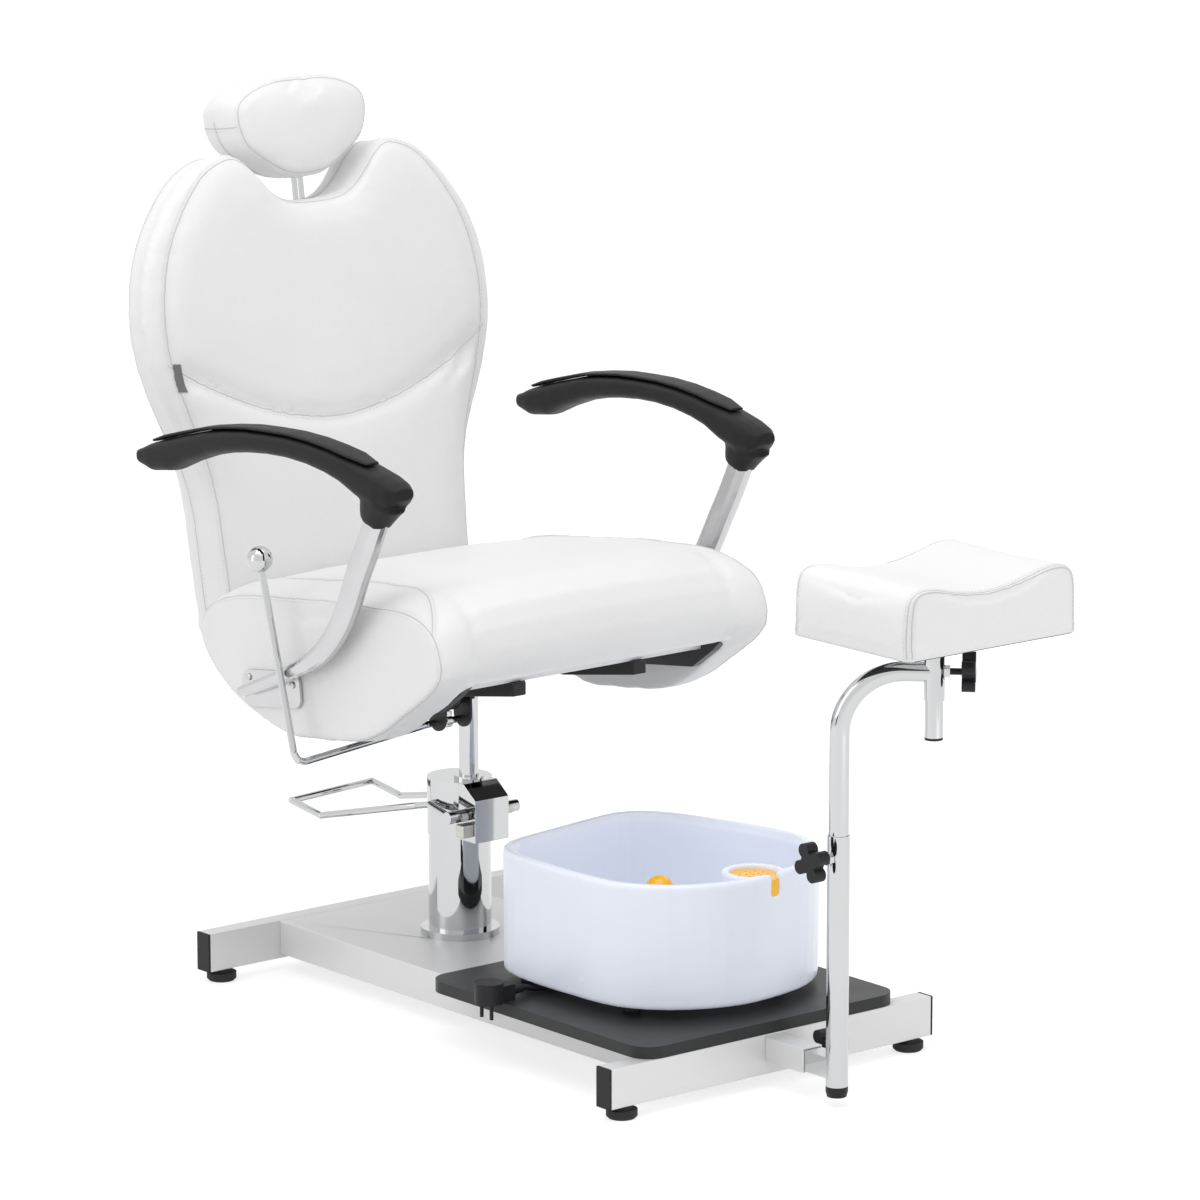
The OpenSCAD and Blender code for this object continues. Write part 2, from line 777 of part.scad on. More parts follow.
module armrest_frames() {
  color(chrome_grey)
    both_sides() {
      difference() {
        translate([plate_in, plate_mid[0], plate_mid[1]])
          rotate([plate_tilt, 0, 0])
            rotate([90, 0, 90])
              linear_extrude(height = plate_t)
                rounded_flat(plate_l, plate_w, plate_r);
        plate_screw_places()
          translate([0, 0, -cut])
            cylinder(h = plate_t + 2 * cut, d = arm_screw_d + 2 * run_gap, $fn = small_fn);
      }
      difference() {
        arm_tube(0);
        difference() {
          arm_tube(-arm_wall);
          translate([plate_in, arm_route[0][0] - plate_t, 0])
            cube([arm_tube_w, arm_tube_w, head_top + mount_z]);
        }
      }
    }
}

module armrest_screws() {
  color(chrome_grey)
    both_sides()
      plate_screw_places() {
        translate([0, 0, run_gap])
          cylinder(h = plate_t, d = arm_screw_d, $fn = small_fn);
        translate([0, 0, plate_t + run_gap])
          intersection() {
            translate([0, 0, arm_screw_head_h - arm_screw_head_d])
              sphere(d = 2 * arm_screw_head_d, $fn = round_fn);
            cylinder(h = arm_screw_head_h, d = arm_screw_head_d, $fn = small_fn);
          }
      }
}

// Line of an arm pad from its rear tip: [place along the chair, height above the seat board,
// share of the width, share of the thickness]
armpad_route = [[249, 244, 0.45, 0.25], [238, 241, 0.78, 0.62], [216, 242, 0.86, 1.12], [184, 249, 0.88, 1.3],
  [150, 261, 0.9, 1.13], [103, 275, 0.92, 1], [62, 283, 0.94, 0.92], [25, 288, 0.95, 0.88],
  [-16, 291, 0.96, 0.82], [-55, 292, 0.97, 0.82], [-96, 290, 0.98, 0.85], [-135, 285, 1, 0.9],
  [-164, 279, 1, 1], [-195, 269, 1, 1.22], [-225, 261, 0.98, 1.3], [-248, 259, 0.84, 1],
  [-262, 262, 0.5, 0.4]];
armpad_splay = 17;
armpad_sides = 14;
// Collar under the pad: [place, height, share of the pad's width, share of the collar's length]
armpad_collar = [[-206, 220, 0.6, 0.88], [-208, 226, 0.68, 1],
  [-215, 240, 0.78, 1.3], [-221, 252, 0.85, 1.65]];
collar_w = 44;
armpad_in = 1;

armpad_start = -206;
armpad_run = 450;
function armpad_x(y) = arm_x_top - armpad_in + armpad_splay * (y - armpad_start) / armpad_run;
function armpad_path() = [for (p = armpad_route) [armpad_x(p[0]), p[0], seat_board_z + p[1]]];

module armpad_bases() {
  path = armpad_path();
  color(black)
    both_sides()
      difference() {
        union() {
          skin([for (i = [0:len(path) - 1]) ring_at(path[i], tangent(path, i), [1, 0, 0],
            oval(armpad_w / 2 * armpad_route[i][2], armpad_h / 2 * armpad_route[i][3],
              armpad_sides, 3))]);
          skin([for (p = armpad_collar) ring_at([arm_x_top, p[0], seat_board_z + p[1]],
            unit([0, -0.4, 1]), [1, 0, 0],
            oval(armpad_w / 2 * p[2], collar_w / 2 * p[3], armpad_sides, 2.5))]);
        }
        arm_tube(soft_gap);
      }
}

insert_t = 5;
insert_w_share = 0.66;
insert_first = 2;
insert_last = 13;

module armpad_tops() {
  path = armpad_path();
  color(black)
    both_sides()
      skin([for (i = [insert_first:insert_last])
        let (tip = (i == insert_first || i == insert_last) ? 0.6 : 1, t = tangent(path, i),
          up = cross([1, 0, 0], t) * (cross([1, 0, 0], t)[2] > 0 ? 1 : -1),
          lift = armpad_h / 2 * armpad_route[i][3] + soft_gap + insert_t / 2)
        ring_at(path[i] + lift * up, t, [1, 0, 0],
          oval(armpad_w / 2 * insert_w_share * tip, insert_t / 2 * (0.5 + tip / 2), armpad_sides, 3))]);
}

// Recline bracket, lever and gas strut

ear_t = 3;
ear_near = -85;
ear_far = -42;
ear_y = -62.5;
ear_w = 34;
ear_low = -51.5;
strut_pin_y = ear_y;
strut_pin_z = mount_z - 15;
strut_pin_d = 12;
strut_x = (ear_near + ear_far) / 2;
lever_y = -55;
lever_z = mount_z - 43;
lever_drop = 20;
lever_clear = 10;
lever_d = 9;
lever_side = 32.5;
lever_out = bolster_out + lever_side;
ball_d = 33;
ball_y = 15;
ball_z = mount_z + 184;
bend_r = 14;
finger_h = 13;

module recline_bracket() {
  color(black) {
    difference() {
      union() {
        translate([ear_near, ear_y - ear_w / 2, mount_z - ear_t])
          cube([ear_far - ear_near, ear_w, ear_t]);
        for (x = [ear_near, ear_far - ear_t])
          translate([x, ear_y, 0])
            rotate([90, 0, 90])
              linear_extrude(height = ear_t) {
                translate([-ear_w / 2, mount_z + ear_low + ear_w / 2])
                  square([ear_w, -ear_low - ear_w / 2]);
                translate([0, mount_z + ear_low + ear_w / 2])
                  circle(d = ear_w, $fn = round_fn);
              }
      }
      translate([strut_x, lever_y, lever_z])
        x_bar(lever_d + 2 * run_gap, 2 * (ear_far - ear_near));
    }
    difference() {
      translate([strut_x - ear_t / 2, strut_pin_y, strut_pin_z])
        x_bar(strut_pin_d, ear_far - ear_near + ear_t);
      translate([strut_x, strut_pin_y, strut_pin_z])
        x_bar(strut_pin_d / 2, 2 * (ear_far - ear_near));
    }
  }
}

module recline_lever() {
  ball = [-lever_out, ball_y, ball_z];
  knee = [-lever_out, lever_y, lever_z - lever_drop];
  out = [ear_near - lever_clear, lever_y, lever_z];
  arm = unit(ball - knee);
  shaft = unit(out - knee);
  color(chrome_grey) {
    bent_rod([[ear_far + ear_t, lever_y, lever_z], out, knee + shaft * bend_r,
      knee + (arm + shaft) * bend_r * 0.3, knee + arm * bend_r, ball], lever_d / 2);
    translate(ball)
      sphere(d = ball_d, $fn = round_fn);
    translate([strut_x, 0, 0])
      rotate([90, 0, 90])
        linear_extrude(height = lever_d, center = true) {
          translate([lever_y, lever_z])
            circle(d = lever_d * 1.8, $fn = round_fn);
          translate([lever_y - lever_d / 2, lever_z])
            square([lever_d, finger_h]);
        }
  }
}

// Recline hinge, in the chair and along the back
back_y = 211;
back_z = seat_board_z - 17;
hinge_depth = 24;
hinge_drop = 19;
hinge_bolt_d = 10;
hinge_eye_r = 14;
hinge_y = back_y + hinge_depth * cos(back_lean) - hinge_drop * sin(back_lean);
hinge_z = back_z - hinge_depth * sin(back_lean) - hinge_drop * cos(back_lean);
hinge_plate_in = 33.5;
plate_x = cross_half - hinge_plate_in;
hinge_plate_t = 6;
hinge_side_gap = 0.5;
lug_r = 55;
lug_pin_d = 8;
strut_d = 22;
strut_rod_d = 8;
strut_head = 14;
strut_body = 200;
strut_wall = 2;
eye_gap = 3.2;
eye_t = 14;
eye_r = 13;
strut_end_y = hinge_y + lug_r * sin(recline_max / 2);
strut_end_z = hinge_z - lug_r * cos(recline_max / 2);
strut_l = norm([strut_end_y - strut_pin_y, strut_end_z - strut_pin_z]);
strut_dip = atan2(strut_pin_z - strut_end_z, strut_end_y - strut_pin_y);

module hinge_plate() {
  translate([plate_x - hinge_plate_t / 2, 0, 0])
    rotate([90, 0, 90])
      linear_extrude(height = hinge_plate_t) {
        translate([hinge_y, hinge_z])
          circle(r = hinge_eye_r, $fn = round_fn);
        polygon([[seat_back - rail_wall, frame_z + frame_h / 2], [seat_back - rail_wall, hinge_z - hinge_eye_r / 2],
          [hinge_y, hinge_z - hinge_eye_r], [hinge_y, hinge_z + hinge_eye_r],
          [seat_back, hinge_z + hinge_eye_r]]);
      }
}

module hinge_bolts() {
  color(chrome_grey)
    both_sides() {
      translate([plate_x - hinge_plate_t / 2, hinge_y, hinge_z])
        x_bar(hinge_bolt_d, 2 * hinge_plate_t + 2 * hinge_side_gap);
      translate([plate_x + hinge_plate_t, hinge_y, hinge_z])
        x_bar(hinge_bolt_d * 1.7, hinge_plate_t - run_gap, 6);
    }
}

// Frame along the strut, from its pin towards the backrest
module along_strut() {
  translate([strut_x, strut_pin_y, strut_pin_z])
    rotate([-strut_dip, 0, 0])
      rotate([-90, 0, 0])
        children();
}

module strut_cylinder() {
  color(black)
    along_strut()
      difference() {
        union() {
          translate([0, 0, strut_head])
            cylinder(h = strut_body - strut_head, d = strut_d, $fn = round_fn);
          x_bar(strut_pin_d * 2, eye_t);
          translate([0, 0, strut_head / 2])
            cylinder(h = strut_head, d = eye_t, center = true, $fn = small_fn);
        }
        x_bar(strut_pin_d + 2 * run_gap, strut_d + 2 * cut);
        translate([0, 0, 2 * strut_head])
          cylinder(h = strut_body - 3 * strut_head, d = strut_d - 2 * strut_wall, $fn = round_fn);
        translate([0, 0, 2 * strut_head])
          cylinder(h = strut_body, d = strut_rod_d + 2 * run_gap, $fn = small_fn);
      }
}

module strut_rod() {
  color(chrome_grey)
    along_strut()
      difference() {
        union() {
          translate([0, 0, strut_body - 6 * strut_head])
            cylinder(h = strut_head, d = strut_d - 2 * strut_wall - 2 * run_gap, $fn = round_fn);
          translate([0, 0, strut_body - 6 * strut_head])
            cylinder(h = strut_l - strut_body + 6 * strut_head, d = strut_rod_d, $fn = small_fn);
          translate([0, 0, strut_l])
            x_bar(2 * eye_r, eye_t);
        }
        translate([0, 0, strut_l])
          x_bar(lug_pin_d + 2 * eye_gap, eye_t + 2 * cut);
      }
}

// Backrest: everything in on_back is drawn as [across, up the back, towards the sitter]

module on_back() {
  translate([0, back_y, back_z])
    rotate([-back_lean, 0, 0])
      rotate([90, 0, 0])
        children();
}

back_board_t = 15;
arm_plate_x = plate_x - hinge_plate_t - hinge_side_gap;
arm_up = 90;
arm_flange_w = 22;
arm_flange_t = 4;
arm_deep = 30;
pocket_gap = 3;
// Right half of the backrest's outline from its lower edge: shares of half width and length, and of the side bulge
back_half_shares = [[0.4, 0, 0], [0.73, 0, 0], [0.76, 0.04, 0], [0.775, 0.12, 0], [0.785, 0.22, 0],
  [0.795, 0.3, 0.1], [0.825, 0.38, 0.4], [0.905, 0.49, 0.9], [0.97, 0.59, 1], [0.985, 0.67, 1],
  [0.965, 0.75, 1], [0.91, 0.83, 0.9], [0.8, 0.91, 0.7], [0.66, 0.975, 0.4], [0.5, 1, 0],
  [0.4, 0.98, 0], [0.325, 0.947, 0], [0.23, 0.912, 0], [0.115, 0.896, 0]];
back_bulge = 24;
seam_mid = 274;
seam_rise = 92;
seam_power = 1.75;
seam_points = 14;
back_mid = [0, back_l * 0.52];

function back_outline(bulge = 0) = closed_curve(mirrored([for (s = back_half_shares)
  [s[0] * back_w / 2 + bulge * s[2] * back_bulge, s[1] * back_l]]), 2);
function seam_y(x) = seam_mid + seam_rise * pow(abs(x) / (back_w / 2), seam_power);
function seam_line(from, to) = [for (i = [1:seam_points - 1])
  let (x = (from + (to - from) * i / seam_points) * back_w / 2 * 0.97) [x, seam_y(x)]];
function upper_panel() = concat([for (p = back_outline()) if (p[1] > seam_y(p[0])) p], seam_line(-1, 1));
function lower_panel() = let (low = [for (p = back_outline()) if (p[1] < seam_y(p[0])) p])
  concat([for (p = low) if (p[0] > 0) p], seam_line(1, -1), [for (p = low) if (p[0] <= 0) p]);

module backrest_cushion() {
  color(white)
    on_back()
      difference() {
        union() {
          padded_back([[0.985, -back_foam, 0.75], [1, -back_foam * 0.85, 0.85], [1.01, -back_foam * 0.4, 1],
            [1.005, -back_foam * 0.12, 0.7], [0.985, 0, 0]]);
          padded(upper_panel(), [0, back_l * 0.72], [[0.97, -cut], [0.955, back_crown * 0.35],
            [0.88, back_crown * 0.72], [0.7, back_crown * 0.92], [0.4, back_crown]]);
          padded(lower_panel(), [0, back_l * 0.26], [[0.97, -cut], [0.95, back_crown * 0.35],
            [0.86, back_crown * 0.72], [0.68, back_crown * 0.92], [0.4, back_crown]]);
        }
        both_sides()
          translate([arm_plate_x - hinge_plate_t / 2 - arm_flange_w - pocket_gap, -hinge_drop,
            -back_foam - cut])
            cube([hinge_plate_t + arm_flange_w + 2 * pocket_gap, arm_up + pocket_gap + hinge_drop,
              arm_deep + pocket_gap + cut]);
        translate([-guide_w / 2 - pocket_gap, guide_low - pocket_gap, -back_foam - cut])
          cube([guide_w + 2 * pocket_gap, back_l, guide_t + pocket_gap + cut]);
      }
}

module backrest_board() {
  color(wood)
    on_back()
      translate([0, 0, -back_foam - soft_gap - back_board_t])
        linear_extrude(height = back_board_t)
          polygon(scaled_about(back_outline(0.4), back_mid, 0.965));
}

module backrest_rear_cover() {
  back = -back_foam - back_board_t - 2 * soft_gap;
  color(white)
    on_back()
      padded_back([[0.9, back - back_cover * 1.25, 0], [0.965, back - back_cover * 1.1, 0],
        [0.99, back - back_cover * 0.8, 0.1], [1, back - back_cover * 0.4, 0.4], [0.985, back, 0.6]]);
}

module backrest_arms() {
  color(black) {
    difference() {
      union() {
        on_back()
          both_sides() {
            translate([arm_plate_x - hinge_plate_t / 2, 0, 0])
              rotate([0, 90, 0])
                linear_extrude(height = hinge_plate_t) {
                  translate([hinge_depth, -hinge_drop])
                    circle(r = hinge_eye_r, $fn = round_fn);
                  translate([back_foam - arm_deep, -hinge_drop])
                    square([arm_deep, arm_up + hinge_drop - pocket_gap]);
                }
            translate([arm_plate_x - hinge_plate_t / 2 - arm_flange_w, 2 * pocket_gap, -back_foam])
              cube([arm_flange_w + cut, arm_up - 3 * pocket_gap, arm_flange_t]);
          }
        translate([0, hinge_y, hinge_z])
          x_bar(hinge_bolt_d * 2, 2 * arm_plate_x);
        for (x = [-1, 1])
          translate([strut_x + x * (eye_t / 2 + hinge_plate_t), 0, 0])
            lug_plate();
      }
      translate([0, hinge_y, hinge_z])
        both_sides()
          translate([arm_plate_x, 0, 0])
            x_bar(hinge_bolt_d + 2 * run_gap, 4 * hinge_plate_t);
    }
    translate([strut_x, strut_end_y, strut_end_z])
      x_bar(lug_pin_d, eye_t + 4 * hinge_plate_t);
  }
}

module lug_plate() {
  translate([-hinge_plate_t / 2, 0, 0])
    rotate([90, 0, 90])
      linear_extrude(height = hinge_plate_t)
        hull() {
          translate([hinge_y, hinge_z])
            circle(d = hinge_bolt_d * 2, $fn = 32);
          translate([strut_end_y, strut_end_z])
            circle(d = lug_pin_d * 2, $fn = 32);
        }
}

// Headrest, drawn in the same frame as the back

head_bar_w = 16;
head_bar_t = 4;
head_bar_depth = 35;
head_slot_w = 4;
guide_w = 24;
guide_t = 10;
guide_down = 223;
guide_low = back_l - guide_down;
guide_l = 140;
head_bar_in = 40;
head_bar_low = guide_low + head_bar_in;
head_low = back_l - 43;
head_front = 10;
head_plate_w = 60;
head_plate_l = 50;
// Right half of the headrest's outline from its lower tip, as shares of half width and height
headrest_half_shares = [[0.25, 0.03], [0.57, 0.16], [0.86, 0.33], [0.97, 0.5], [1, 0.66], [0.97, 0.77],
  [0.84, 0.87], [0.58, 0.955], [0.25, 0.995]];

head_mid = head_low + headrest_l * 0.55;
head_step = 1;
// Layers from back to front: [scale across, scale up the back, shift, share of the thickness]
head_layers = [[0.6, 0.58, 0, -1], [0.83, 0.83, 1, -0.97], [0.94, 0.96, 2, -0.87], [1, 1.05, 3, -0.6],
  [1.03, 1.08, 3, -0.35], [1.02, 1.05, 2, -0.1], [0.985, 0.985, 2, 0], [0.86, 0.86, 2, 0.07],
  [0.6, 0.6, 2, 0.12], [0.3, 0.3, 2, 0.135]];

function headrest_outline() = closed_curve(mirrored([for (s = headrest_half_shares)
  [s[0] * headrest_w / 2, head_low + s[1] * headrest_l]]), 2);

module headrest_guide() {
  color(black)
    on_back()
      translate([-guide_w / 2, guide_low, -back_foam])
        difference() {
          cube([guide_w, guide_l, guide_t]);
          translate([guide_w / 2, guide_l / 2, back_foam - head_bar_depth])
            cube([head_bar_w + 4 * run_gap, guide_l + 2 * cut, head_bar_t + 4 * run_gap],
              center = true);
        }
}

module headrest_bar() {
  color(chrome_grey)
    on_back()
      difference() {
        union() {
          translate([-head_bar_w / 2, head_bar_low, -head_bar_depth - head_bar_t / 2])
            cube([head_bar_w, head_low + head_plate_l - head_bar_low, head_bar_t]);
          translate([-head_plate_w / 2, head_low + pocket_gap * 3, -head_bar_depth - head_bar_t / 2])
            cube([head_plate_w, head_plate_l - pocket_gap * 3, head_bar_t]);
        }
        translate([-head_slot_w / 2, head_bar_low + head_bar_w, -back_foam])
          cube([head_slot_w, head_low - head_bar_low - head_bar_w, back_foam]);
      }
}

module headrest_cushion() {
  color(white)
    on_back()
      difference() {
        skin([for (l = head_layers) [for (q = headrest_outline())
          [q[0] * l[0], head_mid + (q[1] - head_mid) * l[1] + l[2] * head_step, l[3] * headrest_t - head_front]]]);
        translate([-head_bar_w / 2 - soft_gap, head_low - headrest_l,
          -head_bar_depth - head_bar_t / 2 - soft_gap])
          cube([head_bar_w + 2 * soft_gap, headrest_l + head_plate_l / 2,
            head_bar_t + 2 * soft_gap]);
        translate([-head_plate_w / 2 - soft_gap, head_low + pocket_gap * 3 - soft_gap,
          -head_bar_depth - head_bar_t / 2 - soft_gap])
          cube([head_plate_w + 2 * soft_gap, head_plate_l - pocket_gap * 3 + 2 * soft_gap,
            head_bar_t + 2 * soft_gap]);
      }
}

// Leg rest

post_wall = (post_d - inner_post_d) / 2 - run_gap;
post_low = 25;
foot_cap_h = 13;
bar_back = 150;
post_reach = front_reach + post_out;
plug_h = 3;
plug_spigot = 20;
plug_z = 118;
inner_wall = 1.5;
bend_radius = 78;
sleeve_h = 67;
sleeve_z = arm_z - sleeve_h / 2;
post_knob_z = 306;
sleeve_knob_z = arm_z + 1;
pad_z = sleeve_z + sleeve_h + 4;
stem_drop = 119;
pad_plate_t = 4;
pad_plate_w = 110;
pad_board_t = 12;
pad_rim = 8;
// The pad's middle stands off the sleeve's axis.
pad_shift = [11, 12];
pad_bottom = pad_z + pad_plate_t;

module at_post() {
  translate([0, -post_reach, 0])
    children();
}

module at_arm() {
  at_post()
    rotate([0, 0, -arm_turn])
      children();
}

module at_sleeve() {
  at_arm()
    translate([arm_reach, 0, 0])
      children();
}

module footrest_bar() {
  color(chrome_grey)
    difference() {
      translate([0, bar_back / 2 - post_reach, receiver_z])
        difference() {
          cube([bar_s, bar_back, bar_s], center = true);
          cube([bar_s - 2 * tube_wall, bar_back + 2 * cut, bar_s - 2 * tube_wall], center = true);
        }
      translate([0, -post_reach, 0])
        cylinder(h = top_z, d = post_d, $fn = round_fn);
    }
}

// Weld nut and clamp bolt hole on a post or sleeve, pointing along +X
module clamp_nut(r) {
  translate([r + clamp_nut_h / 2 - 1, 0, 0])
    x_bar(clamp_nut_d, clamp_nut_h, 6);
}

module clamp_hole(r) {
  translate([r, 0, 0])
    x_bar(clamp_bolt_d + 2 * run_gap, 2 * clamp_nut_h + 2, small_fn);
}

module footrest_post() {
  color(chrome_grey)
    at_post()
      difference() {
        union() {
          translate([0, 0, post_low])
            cylinder(h = post_top - post_low, d = post_d, $fn = round_fn);
          translate([0, 0, post_knob_z])
            mirror([1, 0, 0])
              clamp_nut(post_d / 2);
        }
        translate([0, 0, post_low - cut])
          cylinder(h = post_top, d = inner_post_d + 2 * run_gap, $fn = round_fn);
        translate([0, 0, post_knob_z])
          mirror([1, 0, 0])
            clamp_hole(post_d / 2);
      }
}

module post_foot_cap() {
  color(black)
    at_post()
      translate([0, 0, post_low - foot_cap_h])
        rotate_extrude($fn = round_fn)
          polygon([[0, 0], [post_d * 0.44, 0], [post_d / 2, foot_cap_h / 2], [post_d / 2, foot_cap_h],
            [inner_post_d / 2 - run_gap, foot_cap_h], [inner_post_d / 2 - run_gap, 2 * foot_cap_h],
            [0, 2 * foot_cap_h]]);
}

// Plastic plug at the lower end of a sliding tube, on which the tube can turn
module tube_plug(d) {
  cylinder(h = plug_h, d = d - 2 * run_gap, $fn = round_fn);
  cylinder(h = plug_h + plug_spigot, d = d - 2 * inner_wall - 2 * run_gap, $fn = round_fn);
}

module post_plug() {
  color(black)
    at_post()
      translate([0, 0, plug_z])
        tube_plug(inner_post_d);
}

module footrest_arm() {
  straight_top = arm_z - bend_radius;
  color(chrome_grey)
    difference() {
      union() {
        at_post()
          translate([0, 0, plug_z + plug_h + run_gap])
            cylinder(h = straight_top - plug_z - plug_h - run_gap, d = inner_post_d, $fn = round_fn);
        at_arm()
          translate([bend_radius, 0, straight_top])
            rotate([90, 0, 0]) rotate([0, 0, 90])
              rotate_extrude(angle = 90, $fn = big_fn)
                translate([bend_radius, 0])
                  circle(d = inner_post_d, $fn = round_fn);
        at_arm()
          translate([bend_radius, 0, arm_z])
            rotate([0, 90, 0])
              cylinder(h = arm_reach - bend_radius, d = inner_post_d, $fn = round_fn);
        at_sleeve() {
          translate([0, 0, sleeve_z])
            cylinder(h = sleeve_h, d = sleeve_d, $fn = round_fn);
          translate([0, 0, sleeve_knob_z])
            clamp_nut(sleeve_d / 2);
        }
      }
      at_post()
        translate([0, 0, plug_z])
          cylinder(h = straight_top - plug_z, d = inner_post_d - 2 * inner_wall, $fn = round_fn);
      at_arm()
        translate([bend_radius, 0, straight_top])
          rotate([90, 0, 0]) rotate([0, 0, 90])
            rotate_extrude(angle = 90, $fn = big_fn)
              translate([bend_radius, 0])
                circle(d = inner_post_d - 2 * inner_wall, $fn = round_fn);
      at_sleeve() {
        translate([0, 0, sleeve_z - cut])
          cylinder(h = sleeve_h + 2 * cut, d = stem_d + 2 * run_gap, $fn = round_fn);
        translate([0, 0, sleeve_knob_z])
          clamp_hole(sleeve_d / 2);
      }
    }
}

module stem_plug() {
  color(black)
    at_sleeve()
      translate([0, 0, pad_z - stem_drop])
        tube_plug(stem_d);
}

module pad_stem() {
  color(chrome_grey)
    at_sleeve() {
      difference() {
        translate([0, 0, pad_z - stem_drop + plug_h + run_gap])
          cylinder(h = stem_drop - plug_h, d = stem_d, $fn = round_fn);
        translate([0, 0, pad_z - stem_drop])
          cylinder(h = stem_drop - plug_h, d = stem_d - 2 * inner_wall, $fn = round_fn);
      }
      translate([0, 0, pad_z])
        rotate([0, 0, arm_turn])
          linear_extrude(height = pad_plate_t)
            rounded_flat(pad_plate_w, pad_plate_w, pad_board_t);
    }
}

module at_pad() {
  at_sleeve()
    rotate([0, 0, arm_turn])
      translate([pad_shift[0], pad_shift[1], pad_bottom])
        children();
}

module pad_board() {
  color(wood)
    at_pad()
      linear_extrude(height = pad_board_t)
        rounded_flat(pad_w - 2 * pad_rim, pad_l - 2 * pad_rim, pad_board_t);
}

// The leg pad's section across the chair, as shares of its width and height
pad_section_shares = [[0.25, 0], [0.465, 0], [0.495, 0.05], [0.5, 0.35], [0.495, 0.72], [0.47, 0.92], [0.4, 0.995],
  [0.3, 0.97], [0.16, 0.88], [0.03, 0.825], [-0.08, 0.825], [-0.2, 0.87], [-0.3, 0.93], [-0.385, 0.96],
  [-0.455, 0.92], [-0.49, 0.76], [-0.5, 0.4], [-0.495, 0.05], [-0.465, 0], [-0.25, 0]];
// Slices along the pad: [share of its depth, scale of the section]
pad_slices = [[-0.5, 0.945], [-0.495, 0.98], [-0.47, 1], [-0.2, 1], [0.2, 1], [0.47, 1], [0.495, 0.98],
  [0.5, 0.945]];

module pad_cushion() {
  section = closed_curve([for (s = pad_section_shares) [s[0] * pad_w, s[1] * pad_h]], 2);
  middle = [0, pad_h / 2];
  color(white)
    at_pad()
      difference() {
        skin([for (s = pad_slices) [for (q = scaled_about(section, middle, s[1])) [q[0], -s[0] * pad_l, q[1]]]]);
        translate([pad_rim - soft_gap - pad_w / 2, pad_rim - soft_gap - pad_l / 2, -pad_board_t])
          cube([pad_w - 2 * pad_rim + 2 * soft_gap, pad_l - 2 * pad_rim + 2 * soft_gap,
            2 * pad_board_t + soft_gap]);
      }
}

// Star knobs

knob_d = 49;
knob_t = 16;
knob_lobe_d = 17;
knob_hub_d = 24;
knob_gap = 13;
knob_turn = 63;

// Knob and clamp bolt along +X; r is the radius of the clamped tube's outside, reach the bolt's inner end
module star_knob(r, reach) {
  out = r + clamp_nut_h + knob_gap;
  color(black)
    translate([out, 0, 0])
      rotate([0, 90, 0]) {
        cylinder(h = knob_t, d = knob_hub_d, $fn = round_fn);
        for (a = [knob_turn:90:knob_turn + 270])
          rotate([0, 0, a]) {
            translate([(knob_d - knob_lobe_d) / 2, 0, 0])
              cylinder(h = knob_t, d = knob_lobe_d, $fn = round_fn);
            translate([0, -knob_lobe_d * 0.4, 0])
              cube([(knob_d - knob_lobe_d) / 2, knob_lobe_d * 0.8, knob_t]);
          }
      }
  color(chrome_grey)
    translate([(reach + out + cut) / 2, 0, 0])
      x_bar(clamp_bolt_d, out + cut - reach, small_fn);
}

module post_knob() {
  at_post()
    translate([0, 0, post_knob_z])
      mirror([1, 0, 0])
        star_knob(post_d / 2, inner_post_d / 2 + soft_gap);
}

module sleeve_knob() {
  at_sleeve()
    translate([0, 0, sleeve_knob_z])
      star_knob(sleeve_d / 2, stem_d / 2 + soft_gap);
}

module bar_knob() {
  translate([0, bar_clamp_y, receiver_z])
    star_knob(receiver_s / 2, bar_s / 2 + soft_gap);
}

// Foot basin on its board

spa_board_r = 30;
basin_at = [16, -376];
basin_foot_h = 12;
basin_foot_d = 24;
basin_foot_places_share = [[-0.66, -0.62], [0.66, -0.62], [-0.78, 0.4], [0.78, 0.4]];
basin_z = spa_z + basin_foot_h;
basin_rim_z = basin_z + basin_h;
basin_wall_share = 0.915;
basin_floor = 32;
basin_skin = 3;
// Right half of the basin's outline from its front middle to its heel, as shares of half width and length
basin_half_shares = [[0.12, -0.54], [0.35, -0.525], [0.6, -0.47], [0.82, -0.38], [0.96, -0.27], [1, -0.17],
  [0.985, -0.05], [0.93, 0.15], [0.86, 0.3], [0.75, 0.4], [0.58, 0.45], [0.35, 0.46], [0.12, 0.46]];
pocket_at = [-8, -0.435 * basin_l];
pocket_r = 30;
pocket_wall = 9;
pocket_deep = 36;
column_d = 44;
column_top = 88;
tab_w = 13;
tab_drop = 21;

module at_basin() {
  translate([basin_at[0], basin_at[1], 0])
    rotate([0, 0, basin_turn])
      children();
}

function basin_outline() = closed_curve(mirrored([for (s = basin_half_shares)
  [s[0] * basin_w / 2, s[1] * basin_l]]), 2);

module spa_board() {
  color(black)
    translate([0, spa_board_l / 2 - front_reach, top_z])
      linear_extrude(height = spa_board_t)
        rounded_flat(spa_board_w, spa_board_l, spa_board_r);
}

